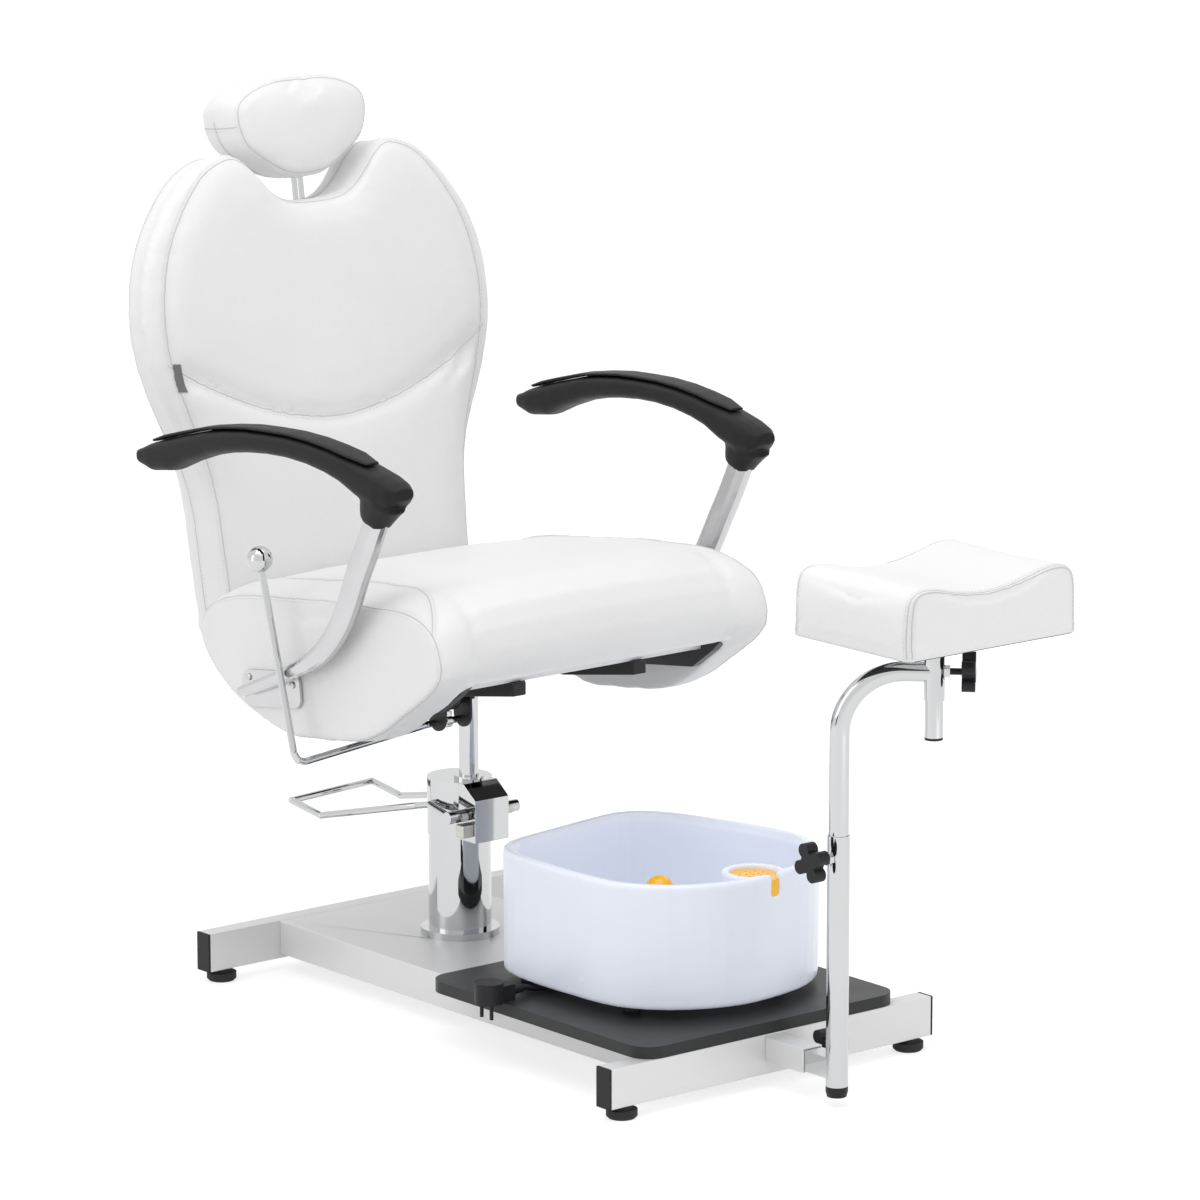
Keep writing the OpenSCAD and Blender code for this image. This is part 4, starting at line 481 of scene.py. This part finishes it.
finishes = {
    "leather": bpy.data.materials["white_leather"],
    "black_vinyl": coated("black_vinyl", (0.018, 0.018, 0.02), 0.3, 700, 0.0003),
    "chrome": polished("chrome", (0.60, 0.605, 0.61)),
    "satin_chrome": brushed("satin_chrome", (0.62, 0.62, 0.63), 0.1),
    "silver_paint": silver_paint("silver_paint", (0.80, 0.80, 0.80)),
    "black_paint": coated("black_paint", (0.016, 0.016, 0.017), 0.34, 900, 0.0002),
    "steel": plated("steel", (0.66, 0.66, 0.65)),
    "rubber": coated("rubber", (0.022, 0.022, 0.023), 0.62, 500, 0.0004),
    "black_plastic": coated("black_plastic", (0.014, 0.014, 0.016), 0.42, 800, 0.0003, 0.25),
    "arm_pad": coated("arm_pad", (0.010, 0.010, 0.011), 0.42, 1300, 0.0003, 0.2),
    "board": plywood("board", (0.62, 0.46, 0.29)),
    "black_board": coated("black_board", (0.020, 0.021, 0.022), 0.34, 1100, 0.0002),
    # The bath and the orange parts glow a little: painted light.
    "basin_white": clear_moulded("basin_white", (0.80, 0.84, 0.94), 0.2, 0.07),
    "orange": clear_moulded("orange", (0.95, 0.50, 0.01), 0.16, 0.05),
}
print("finishes:", len(finishes))

# %% [markdown]
# ## Dressing the CAD pieces
# A CAD piece keeps its shape and only gets its finish. Pressed steel and sawn board never have a knife
# edge, and the light line along a rounded edge is what makes metal look real, so the boxy pieces get
# a small bevel as a modifier, which leaves the mesh itself alone.

# %% Finish of each CAD piece
for part in frame["record"]["subparts"]:
    piece = frame["nodes"][part["node"]]
    for holder in piece.material_slots:
        holder.link = "OBJECT"
        holder.material = finishes[part["material_slot"]]
mains_lead.data.materials.append(finishes["black_plastic"])
print("CAD pieces dressed:", len(frame["nodes"]))


# %% Rounded edges
def eased(node, width):
    """A small rounding along the sharp edges of a boxy piece."""
    piece = frame["nodes"][node]
    weld = piece.modifiers.new("weld", "WELD")
    weld.merge_threshold = 0.00002
    ease = piece.modifiers.new("ease", "BEVEL")
    ease.width = width
    ease.segments = 2
    ease.limit_method = "ANGLE"
    ease.angle_limit = math.radians(40)
    ease.use_clamp_overlap = True
    even = piece.modifiers.new("even", "WEIGHTED_NORMAL")
    even.keep_sharp = True


roundings = {"rear_cross_tube": 0.0012, "front_cross_tube": 0.0012, "tube_end_caps": 0.0012,
             "base_platform": 0.0010, "footrest_receiver": 0.0008, "spa_board": 0.0014,
             "pump_housing": 0.0012, "pedal_stop": 0.001, "seat_mount_channel": 0.0006,
             "recline_bracket": 0.0005, "seat_frame": 0.001}
for node, width in roundings.items():
    eased(node, width)
print("pieces with rounded edges:", len(roundings))

# %% [markdown]
# ## From a solid to a stuffed cover
# A cushion is a block of foam in a sewn cover. The foam wants to be round and the seams hold it in,
# which is what makes a cushion look soft. The CAD solid is copied and melted into an even net of
# small squares, the skin is blown up with a cloth simulation, and the blow is capped, so that the
# cushion stays in the room it has. Sculpting by hand could do the same, but not twice alike.

# %% Points of a mesh as numbers
def points_of(mesh):
    points = np.empty(len(mesh.vertices) * 3)
    mesh.vertices.foreach_get("co", points)
    return points.reshape(-1, 3)


def normals_of(mesh):
    normals = np.empty(len(mesh.vertices) * 3)
    mesh.vertex_normals.foreach_get("vector", normals)
    return normals.reshape(-1, 3)


def put_points(mesh, points):
    mesh.vertices.foreach_set("co", np.asarray(points, np.float32).ravel())
    mesh.update()


def settled(piece):
    """The piece with its modifiers worked into its mesh."""
    graph = bpy.context.evaluated_depsgraph_get()
    made = bpy.data.meshes.new_from_object(piece.evaluated_get(graph))
    piece.modifiers.clear()
    piece.data = made
    return piece


def solid_copy(name, nodes, more=()):
    """One new piece from CAD solids, and from any extra shapes given as points and faces."""
    shape = bmesh.new()
    for node in nodes:
        shape.from_mesh(frame["nodes"][node].data)
    bmesh.ops.remove_doubles(shape, verts=shape.verts, dist=0.00001)
    for points, faces in more:
        corners = [shape.verts.new(p) for p in points]
        for face in faces:
            shape.faces.new([corners[k] for k in face])
    mesh = bpy.data.meshes.new(name)
    shape.to_mesh(mesh)
    shape.free()
    piece = bpy.data.objects.new(name, mesh)
    scene.collection.objects.link(piece)
    return piece


def prism(outline, offset):
    """Points and faces of a closed block between an outline and the same outline moved by offset."""
    low = [tuple(p) for p in outline]
    high = [tuple(np.array(p) + offset) for p in outline]
    count = len(low)
    sides = [(k, (k + 1) % count, count + (k + 1) % count, count + k) for k in range(count)]
    return low + high, sides + [tuple(range(count))[::-1], tuple(range(count, 2 * count))]


def melted(piece, voxel):
    """An even net of small squares over everything that touches."""
    melt = piece.modifiers.new("melt", "REMESH")
    melt.mode = "VOXEL"
    melt.voxel_size = voxel
    return settled(piece)


SMOOTHING = [0.5, -0.52]


def relaxed(piece, rounds):
    """Takes the facets out of the skin and keeps its volume: each inward step has an outward one."""
    mesh = piece.data
    points = points_of(mesh)
    ends = np.empty(len(mesh.edges) * 2, int)
    mesh.edges.foreach_get("vertices", ends)
    ends = ends.reshape(-1, 2)
    ways = np.bincount(ends.ravel(), minlength=len(points))[:, None]
    for step in SMOOTHING * rounds:
        total = [np.bincount(ends[:, 0], points[ends[:, 1], k], len(points))
                 + np.bincount(ends[:, 1], points[ends[:, 0], k], len(points)) for k in range(3)]
        points = points + step * (np.stack(total, 1) / ways - points)
    put_points(mesh, points)
    return piece


print("helpers for skins are ready")

# %% [markdown]
# ## Stuffing
# A stuffed cover swells between its seams, and the foam behind it gives way evenly. Cloth under pressure
# does the same, so the skin is drawn in a little and blown out for twenty moments. A plain push along
# the normals would be faster, but it would keep every corner of the CAD solid.

# %% Cloth under pressure
MOMENTS = 20


def stuffed(piece, start_in, cap, free):
    """Draws the skin in by start_in, blows it up as cloth, and lets no point move further than cap."""
    mesh = piece.data
    start = points_of(mesh) - normals_of(mesh) * start_in * free[:, None]
    put_points(mesh, start)
    skin = piece.modifiers.new("skin", "CLOTH")
    skin.settings.quality = 5
    skin.settings.mass = 0.3
    skin.settings.tension_stiffness = 15
    skin.settings.compression_stiffness = 15
    skin.settings.bending_stiffness = 0.8
    skin.settings.use_pressure = True
    skin.settings.uniform_pressure_force = 4.0
    skin.settings.effector_weights.gravity = 0
    skin.point_cache.frame_start = 1
    skin.point_cache.frame_end = MOMENTS
    for moment in range(1, MOMENTS + 1):
        scene.frame_set(moment)
    blown = piece.evaluated_get(bpy.context.evaluated_depsgraph_get())
    shift = points_of(blown.data) - start
    piece.modifiers.clear()
    scene.frame_set(1)
    far = np.linalg.norm(shift, axis=1)
    shift *= (np.minimum(far, cap) / np.maximum(far, 1e-9))[:, None]
    put_points(mesh, start + shift * free[:, None])
    return piece


def finer(piece):
    """One subdivision, which doubles the net and rounds it."""
    smooth = piece.modifiers.new("finer", "SUBSURF")
    smooth.levels = 1
    settled(piece)
    piece.data.shade_smooth()
    return piece


print("stuffing uses", "the cloth simulation")

# %% [markdown]
# ## Seams
# The cover is sewn from flat panels. Where two meet, the leather is drawn into a fine crease, and a row
# of top stitches runs beside it on one side or both. The crease is pressed into the net, with a thin
# painted shadow line at its bottom and painted shade on the leather beside it, and each stitch is a
# small capsule of thread that lies on the leather.
# A painted line would be quicker, but it would vanish from the side, where real thread still shows.

# %% Lines on a skin
def skin_of(piece):
    """A search tree of the piece's faces, to lay things on them."""
    net = bmesh.new()
    net.from_mesh(piece.data)
    tree = BVHTree.FromBMesh(net)
    net.free()
    return tree


def laid_on(tree, line, sink=0.0):
    """The line moved onto the skin, with the skin's normals."""
    places, ups = [], []
    for point in line:
        hit, up = tree.find_nearest(Vector(point))[:2]
        places.append(np.array(hit - up * sink))
        ups.append(np.array(up))
    return np.array(places), np.array(ups)


def creased(piece, lines, depth, width):
    """Presses the seam lines into the skin and marks how near each point is to one of them; the leather
    uses the mark as painted shade along the seams.
    """
    mesh = piece.data
    samples = np.concatenate([even_steps(line, 0.0015) for line in lines])
    near = KDTree(len(samples))
    for k, point in enumerate(samples):
        near.insert(point, k)
    near.balance()
    points = points_of(mesh)
    far = np.array([near.find(point)[2] for point in points])
    press = np.exp(-(far / width) ** 2)
    put_points(mesh, points - normals_of(mesh) * (depth * press)[:, None])
    # This mark darkens the leather near the seams: painted shade.
    mark = mesh.attributes.new("crease", "FLOAT", "POINT")
    mark.data.foreach_set("value", np.exp(-(far / (2.2 * width)) ** 2).astype(np.float32))


print("lines can be laid on a skin and pressed into it")

# %% One stitch
STITCH = 0.0036
GAP = 0.0017
THREAD = 0.00042
# Along a stitch: how far, how thick and how high above the leather, the last two in threads.
STITCH_RINGS = ((0.0, 0.35, -0.6), (0.14, 0.9, 0.1), (0.5, 1.0, 0.45), (0.86, 0.9, 0.1),
                (1.0, 0.35, -0.6))
STITCH_FACES = [(r * 6 + k, r * 6 + (k + 1) % 6, r * 6 + 6 + (k + 1) % 6, r * 6 + 6 + k)
                for r in range(len(STITCH_RINGS) - 1) for k in range(6)]
STITCH_FACES += [(5, 4, 3, 2, 1, 0), (24, 25, 26, 27, 28, 29)]
STITCH_POINTS = 6 * len(STITCH_RINGS)


def stitch_shape(start, end, up):
    """Points of one stitch: a capsule of thread between two needle holes, bowed off the leather."""
    along = (end - start) / np.linalg.norm(end - start)
    across = np.cross(up, along)
    rings = []
    for share, size, lift in STITCH_RINGS:
        middle = start + (end - start) * share + up * THREAD * lift
        rings += [middle + THREAD * size * (across * math.cos(a) + up * math.sin(a))
                  for a in np.arange(6) * math.pi / 3]
    return rings


print("a stitch has", STITCH_POINTS, "points and", len(STITCH_FACES), "faces")

# %% Sewing
SHADOW_LINE_THICK = 0.0008
# Each seam gets a thin grey tube at its bottom: a painted shadow line.
shadow_line_finish = coated("seam_fold", (0.52, 0.52, 0.52), 0.6, 900, 0.0002)
thread_finish = coated("white_thread", (0.66, 0.66, 0.66), 0.5, 2400, 0.0003)


def sewn(piece, body, lines, rows):
    """Shadow lines in the seams and rows of stitches beside them. rows gives each line's offsets."""
    skin = skin_of(piece)
    shadow_lines = bpy.data.curves.new(piece.name + "_folds", "CURVE")
    shadow_lines.dimensions = "3D"
    shadow_lines.bevel_depth = SHADOW_LINE_THICK
    shadow_lines.bevel_resolution = 1
    points, faces = [], []
    for line, offsets in zip(lines, rows):
        places, ups = laid_on(skin, even_steps(line, 0.003), 0.0002)
        run = shadow_lines.splines.new("POLY")
        run.points.add(len(places) - 1)
        run.points.foreach_set("co", np.concatenate([places, np.ones((len(places), 1))], 1).ravel())
        along = np.gradient(places, axis=0)
        along /= np.maximum(np.linalg.norm(along, axis=1), 1e-9)[:, None]
        for offset in offsets:
            beside = even_steps(places + np.cross(ups, along) * offset, STITCH + GAP)
            firsts, tops = laid_on(skin, beside[:-1])
            ends = beside[:-1] + (beside[1:] - beside[:-1]) * STITCH / (STITCH + GAP)
            seconds = laid_on(skin, ends)[0]
            for first, second, up in zip(firsts, seconds, tops):
                if np.linalg.norm(second - first) > STITCH * 0.4:
                    faces += [tuple(len(points) + k for k in face) for face in STITCH_FACES]
                    points += stitch_shape(first, second, up)
    shadow = bpy.data.objects.new(piece.name + "_folds", shadow_lines)
    thread = piece.name + "_stitches"
    threads = bpy.data.objects.new(thread, bpy.data.meshes.new(thread))
    threads.data.from_pydata(points, [], faces)
    threads.data.shade_smooth()
    for made, finish in ((shadow, shadow_line_finish), (threads, thread_finish)):
        scene.collection.objects.link(made)
        made.data.materials.append(finish)
        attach(made, body)
    print(piece.name, "stitches:", len(points) // STITCH_POINTS)


# %% New skins for CAD solids
def takes_place(piece, body, nodes, slot):
    """The finished piece rides with its body and takes the place of its CAD solids."""
    piece.data.materials.clear()
    piece.data.materials.append(finishes[slot])
    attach(piece, body)
    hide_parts(*nodes)
    print(piece.name, "points:", len(piece.data.vertices))


# %% [markdown]
# ## The seat
# The seat is one cover over a long cushion and two rounded side bolsters. The bolsters stand higher
# at the back and sweep down under the board. On top an inner seam runs forward along each bolster and
# bends out to meet the outer seam at the front corner. The cushion, the bolsters and the place of the
# board between them are melted together, so that the leather runs on over all of them as it does on
# the real seat. Separate covers would be simpler, but a gap would show between them.

# %% Outline of a side bolster
SEAT_BOARD_Z = 447.0
SEAM_X = 262.0
SEAM_SCALE = 0.985
bolster_shares = [(1, 0.46), (0.995, 0.63), (0.946, 0.745), (0.836, 0.837), (0.671, 0.898),
                  (0.405, 0.974), (0.291, 0.99), (0.144, 1), (0.05, 0.934), (0.008, 0.8), (0, 0.617),
                  (0.06, 0.464), (0.146, 0.316), (0.234, 0.168), (0.339, 0.071), (0.533, 0.005),
                  (0.641, 0), (0.804, 0.105), (0.925, 0.262)]
bolster_long = 499.0
bolster_high = 196.0
bolster_front = -301.0
bolster_low = SEAT_BOARD_Z - 88.0
bolster_middle = (bolster_front + bolster_long / 2, bolster_low + bolster_high / 2)
bolster_ring = smooth_line([(bolster_front + a * bolster_long, bolster_low + b * bolster_high)
                            for a, b in bolster_shares], LINE_STEPS, True)


def bolster_edge(x, scale, rise):
    """The outline of a bolster in the plane x, as points in the frame."""
    ring = bolster_middle + (bolster_ring - bolster_middle) * scale
    ring[:, 1] += rise * np.maximum(0, (ring[:, 1] - bolster_middle[1]) / bolster_high)
    return set_back([(x, y, z) for y, z in ring])


print("points round a bolster:", len(bolster_ring))

# %% Seat cover
CUSHION_SIDE = 0.2083
BOLSTER_SHIFT = 0.0012    # the bolsters move in by this much, so that they melt into the cushion
# The wrap is a thin block in the board's place, in metres.
WRAP_SIDE = 0.2079
WRAP_FRONT = 0.008
WRAP_REAR = 0.447
WRAP_LOW = 0.4455
WRAP_HIGH = 0.019
wrap = [(-WRAP_SIDE, WRAP_FRONT, WRAP_LOW), (WRAP_SIDE, WRAP_FRONT, WRAP_LOW),
        (WRAP_SIDE, WRAP_REAR, WRAP_LOW), (-WRAP_SIDE, WRAP_REAR, WRAP_LOW)]
seat = solid_copy("seat_cover", ["seat_cushion", "side_bolsters"], [prism(wrap, (0, 0, WRAP_HIGH))])
points = points_of(seat.data)
points[:, 0] -= np.sign(points[:, 0]) * np.where(np.abs(points[:, 0]) > CUSHION_SIDE, BOLSTER_SHIFT, 0)
put_points(seat.data, points)
relaxed(melted(seat, 0.006), 8)
points = points_of(seat.data)
flat_bottom = (points[:, 2] < (SEAT_BOARD_Z + 19) / 1000) & (np.abs(points[:, 0]) < 0.207)
outer_face = np.abs(points[:, 0]) > SEAM_X / 1000
free = np.where(flat_bottom, 0.0, 1.0) * np.where(outer_face, 0.5, 1.0)
finer(stuffed(seat, 0.002, 0.0032, free))
print("seat net:", len(seat.data.vertices))

# %% Seat seams
BESIDE = 0.0045       # a row of stitches runs this far beside its seam
BEND_FROM = 165.0     # ahead of the pump's axis, where the inner seams begin to bend out
BEND_OVER = 118.0
SEAM_END = 284.0
outer_seams = []
inner_seams = []
for side in (-1, 1):
    edge = bolster_edge(side * SEAM_X, SEAM_SCALE, 4)
    top = bolster_edge(side * 212.0, 1.0, 34)
    bend = np.clip((PUMP_SET - top[:, 1] * 1000 - BEND_FROM) / BEND_OVER, 0, 1)[:, None] ** 2
    top = top * (1 - bend) + edge * bend
    top = top[(top[:, 2] > (bolster_middle[1] + 38) / 1000) & (top[:, 1] * 1000 - PUMP_SET > -SEAM_END)]
    inner_seams.append(top[np.argsort(-top[:, 1])])
    outer_seams.append(np.roll(edge, -int(np.argmax(edge[:, 1])), axis=0))
creased(seat, outer_seams + inner_seams, 0.0012, 0.0028)
takes_place(seat, "seat", ["seat_cushion", "side_bolsters"], "leather")
sewn(seat, "seat", outer_seams + inner_seams, [(-BESIDE,), (BESIDE,), (BESIDE,), (-BESIDE,)])

# %% [markdown]
# ## The backrest
# The back is a thick padded board, narrow at the waist and wide at the shoulders, with a dip at the
# top for the headrest. Its face has two panels that meet in a curved seam, which rises to both sides.
# The front foam, the edge of the board and the padded rear cover are drawn over with one skin.

# %% Outline of the back
back_wide = 520.0
back_long = 623.0
back_bulge = 24.0
lean = math.radians(8.5)
back_foot = (211.0, 430.0)
# Half width, height, and how much of the bulge a point takes, each as a share of the whole.
back_shares = [(0.4, 0, 0), (0.73, 0, 0), (0.76, 0.04, 0), (0.775, 0.12, 0), (0.785, 0.22, 0),
               (0.795, 0.3, 0.1), (0.825, 0.38, 0.4), (0.905, 0.49, 0.9), (0.97, 0.59, 1),
               (0.985, 0.67, 1), (0.965, 0.75, 1), (0.91, 0.83, 0.9), (0.8, 0.91, 0.7),
               (0.66, 0.975, 0.4), (0.5, 1, 0), (0.4, 0.98, 0), (0.325, 0.947, 0), (0.23, 0.912, 0),
               (0.115, 0.896, 0)]


def on_back(across, up, out):
    """A point given across the back, up the back and out towards the sitter."""
    y = -out * math.cos(lean) + up * math.sin(lean)
    z = out * math.sin(lean) + up * math.cos(lean)
    return (across, back_foot[0] + y, back_foot[1] + z)


def back_ring(scale, out, bulge):
    """The outline of the back, scaled about its middle, at a distance out from the board."""
    half = [(a * back_wide / 2 + bulge * c * back_bulge, b * back_long) for a, b, c in back_shares]
    ring = smooth_line(mirrored(half), LINE_STEPS, True)
    middle = np.array([0, back_long * 0.52])
    ring = middle + (ring - middle) * scale
    return set_back([on_back(x, y, out) for x, y in ring])


def off_back(out):
    """The step straight out from the back's face, in metres."""
    return (np.array(on_back(0, 0, out)) - np.array(on_back(0, 0, 0))) / 1000


def closed(ring):
    return np.concatenate([ring, ring[:1]])


print("points round the back:", len(back_ring(1.0, 0.0, 0.0)))

# %% Backrest cover
BOARD_BACK = -39.0
FILLER_DEEP = -18.0    # the filler takes the board's place, between the foam and the rear cover
filler = prism(back_ring(0.998, BOARD_BACK, 0.9), off_back(FILLER_DEEP))
back = solid_copy("backrest_cover", ["backrest_cushion", "backrest_rear_cover"], [filler])
relaxed(melted(back, 0.006), 14)
finer(stuffed(back, 0.002, 0.004, np.ones(len(back.data.vertices))))
print("backrest net:", len(back.data.vertices))

# %% Backrest seams
CROSS_LOW = 274.0
CROSS_RISE = 92.0
front_seam = closed(back_ring(0.978, 0.5, 0.1))
cross = np.linspace(-1, 1, 90) * back_wide / 2 * 0.985
cross_seam = set_back([on_back(x, CROSS_LOW + CROSS_RISE * (abs(x) / (back_wide / 2)) ** 1.75, 8)
                       for x in cross])
rear_seam = closed(back_ring(1.0, BOARD_BACK + FILLER_DEEP, 0.6))
creased(back, [front_seam, cross_seam, rear_seam], 0.0014, 0.0028)
takes_place(back, "back", ["backrest_cushion", "backrest_rear_cover"], "leather")
sewn(back, "back", [front_seam, cross_seam, rear_seam], [(-BESIDE,), (BESIDE, -BESIDE), (BESIDE,)])

# %% [markdown]
# ## The side tag
# A small woven tag is caught in the front seam on the sitter's right and lies flat on the leather. A
# grid of points laid on the skin follows it everywhere, where a flat card would cut into the curve.

# %% Tag
TAG_THICK = 0.0008
TAG_ROWS = 8
TAG_COLUMNS = 4
top_left, top_right, low_right, low_left = np.array([(-250.0, 365.0), (-239.0, 364.0), (-232.0, 329.0),
                                                     (-243.0, 329.0)])
back_skin = skin_of(back)
tag_net, tag_tops = [], []
for k in range(TAG_ROWS + 1):
    left = top_left + (low_left - top_left) * k / TAG_ROWS
    right = top_right + (low_right - top_right) * k / TAG_ROWS
    for m in range(TAG_COLUMNS + 1):
        x, y = left + (right - left) * m / TAG_COLUMNS
        places, ups = laid_on(back_skin, set_back([on_back(x, y, 6)]), -TAG_THICK / 2)
        tag_net.append(places[0])
        tag_tops.append(places[0] + ups[0] * TAG_THICK)
print("points of the tag's lower side:", len(tag_net))

# %% Faces of the tag
wide = TAG_COLUMNS + 1
count = len(tag_net)
squares = [(k * wide + m, k * wide + m + 1, k * wide + m + wide + 1, k * wide + m + wide)
           for k in range(TAG_ROWS) for m in range(TAG_COLUMNS)]
rim = [k * wide for k in range(TAG_ROWS + 1)]
rim += [TAG_ROWS * wide + m for m in range(1, wide)]
rim += [k * wide + TAG_COLUMNS for k in range(TAG_ROWS - 1, -1, -1)]
rim += list(range(TAG_COLUMNS - 1, 0, -1))
faces = squares + [tuple(count + c for c in square)[::-1] for square in squares]
faces += [(rim[k], rim[k - 1], count + rim[k - 1], count + rim[k]) for k in range(len(rim))]
tag = bpy.data.objects.new("side_tag", bpy.data.meshes.new("side_tag"))
tag.data.from_pydata([tuple(p) for p in tag_net + tag_tops], [], faces)
scene.collection.objects.link(tag)
tag.data.materials.append(coated("woven_tag", (0.16, 0.16, 0.16), 0.7, 1800, 0.0003))
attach(tag, "back")
print("tag points:", len(tag.data.vertices))

# %% [markdown]
# ## The headrest
# A small pillow, wide at the top and pointed below, with a smooth front panel. Its band has a seam
# across each side, and a second one runs from there down to the tip. It is stuffed tighter than the
# other cushions, so its skin may move further. A plug fills the slot of its bar before the melting.

# %% Headrest outline
head_wide = 210.0
head_high = 128.0
head_low = back_long - 43.0
head_shares = [(0.25, 0.03), (0.57, 0.16), (0.86, 0.33), (0.97, 0.5), (1, 0.66), (0.97, 0.77),
               (0.84, 0.87), (0.58, 0.955), (0.25, 0.995)]
head_middle = head_low + head_high * 0.55
head_front = 10.0
head_deep = 96.0
head_seam_level = head_low + head_high * 0.56


def head_ring(across, up, shift, depth):
    """The pillow's outline, scaled both ways, at a share of its depth."""
    half = [(a * head_wide / 2, head_low + b * head_high) for a, b in head_shares]
    ring = smooth_line(mirrored(half), LINE_STEPS, True)
    return set_back([on_back(x * across, head_middle + (y - head_middle) * up + shift,
                             depth * head_deep - head_front) for x, y in ring])


print("points round the headrest:", len(head_ring(1, 1, 0, 0)))

# %% Headrest cover
plug = prism(head_ring(0.7, 0.7, 2, -0.5), off_back(0.45 * head_deep))
headrest = solid_copy("headrest_cover", ["headrest_cushion"], [plug])
relaxed(melted(headrest, 0.004), 5)
finer(stuffed(headrest, 0.001, 0.0065, np.ones(len(headrest.data.vertices))))
print("headrest net:", len(headrest.data.vertices))

# %% Headrest seams
HEAD_BESIDE = 0.004
panel = closed(head_ring(0.975, 0.975, 2, 0.005))
low_ring = head_ring(1.02, 1.04, 2, -0.52)
seam_height = set_back([on_back(0, head_seam_level, 0)])[0][2]
bands = []
for side in (-1, 1):
    bands.append(set_back([on_back(side * head_wide * 0.53, head_seam_level, d * head_deep - head_front)
                           for d in np.linspace(-0.01, -0.95, 30)]))
    half = low_ring[(low_ring[:, 0] * side > 0.004) & (low_ring[:, 2] < seam_height)]
    bands.append(half[np.argsort(-half[:, 2])])
creased(headrest, [panel] + bands, 0.001, 0.0024)
takes_place(headrest, "headrest", ["headrest_cushion"], "leather")
sewn(headrest, "headrest", [panel] + bands, [(-HEAD_BESIDE,)] + [(HEAD_BESIDE,)] * len(bands))

# %% [markdown]
# ## The leg pad
# The pad is a saddle: two humps with a dip for the calf. A band runs over it from side to side, and
# the flat front and back faces are set in with a seam that has stitches on both sides. Black cloth
# closes the underside.

# %% Leg pad outline
pad_wide = 270.0
pad_deep = 205.0
pad_high = 86.0
arm_reach = 111
arm_turn = math.radians(-45)
pad_middle = (arm_reach * math.cos(arm_turn) + 11.0, arm_reach * math.sin(arm_turn) - 724.0 + 12.0)
pad_bottom = 574.5
pad_shares = [(0.25, 0), (0.465, 0), (0.495, 0.05), (0.5, 0.35), (0.495, 0.72), (0.47, 0.92),
              (0.4, 0.995), (0.3, 0.97), (0.16, 0.88), (0.03, 0.825), (-0.08, 0.825), (-0.2, 0.87),
              (-0.3, 0.93), (-0.385, 0.96), (-0.455, 0.92), (-0.49, 0.76), (-0.5, 0.4), (-0.495, 0.05),
              (-0.465, 0), (-0.25, 0)]
pad_ring = smooth_line([(a * pad_wide, b * pad_high) for a, b in pad_shares], LINE_STEPS, True)


def pad_slice(place, scale):
    """The saddle's outline, scaled about its middle, at a share of the depth from the middle."""
    ring = np.array([0, pad_high / 2]) + (pad_ring - np.array([0, pad_high / 2])) * scale
    return set_back([(pad_middle[0] + x, pad_middle[1] + place * pad_deep, pad_bottom + z)
                     for x, z in ring])


print("points round the leg pad:", len(pad_ring))

# %% Leg pad cover
leg_pad = solid_copy("leg_pad_cover", ["pad_cushion"])
relaxed(melted(leg_pad, 0.003), 8)
points = points_of(leg_pad.data)
free = np.clip((points[:, 2] * 1000 - pad_bottom - 4) / 12, 0, 1)
finer(stuffed(leg_pad, 0.001, 0.0018, free))
print("leg pad net:", len(leg_pad.data.vertices))

# %% Leg pad seams
PAD_BESIDE = 0.0038
pad_seams = []
for place, scale in ((-0.47, 0.99), (0.47, 0.99), (-0.5, 0.955), (0.5, 0.955)):
    ring = pad_slice(place, scale)
    start = int(np.argmin(np.abs(ring[:, 0] - ring[:, 0].mean()) + (ring[:, 2] - ring[:, 2].min()) * 9))
    ring = np.roll(ring, -start, axis=0)
    pad_seams.append(ring[ring[:, 2] > ring[:, 2].min() + 0.003])
creased(leg_pad, pad_seams, 0.0012, 0.0024)
takes_place(leg_pad, "pad", ["pad_cushion"], "leather")
leg_pad.data.materials.append(finishes["black_vinyl"])
for face in leg_pad.data.polygons:
    if face.normal.z < -0.7 and face.center.z * 1000 < pad_bottom + 3:
        face.material_index = 1
sewn(leg_pad, "pad", pad_seams, [(PAD_BESIDE, -PAD_BESIDE)] * 2 + [()] * 2)

# %% [markdown]
# ## Arm pads
# The arm pads are foam with a tough moulded skin, on a plastic core that grips the tube. They are
# melted from the CAD solids into a finer net, which rounds their edges as a mould would.

# %% Arm pads
for name, node, voxel, rounds in (("arm_pad_bodies", "armpad_bases", 0.0025, 22),
                                  ("arm_pad_inserts", "armpad_tops", 0.0015, 3)):
    pads = solid_copy(name, [node])
    relaxed(melted(pads, voxel), rounds)
    pads.data.shade_smooth()
    takes_place(pads, "seat", [node], "arm_pad")

# %% [markdown]
# ## The foot bath
# The bath is moulded, so it has no hard edge and no facet anywhere. It is melted and smoothed like the
# arm pads, in a net a little finer than its wall is thick, so that the rim and the scent pocket stay.

# %% Foot bath
bath = solid_copy("bath_shell", ["basin_tub"])
relaxed(melted(bath, 0.0025), 10)
bath.data.shade_smooth()
takes_place(bath, "base", ["basin_tub"], "basin_white")
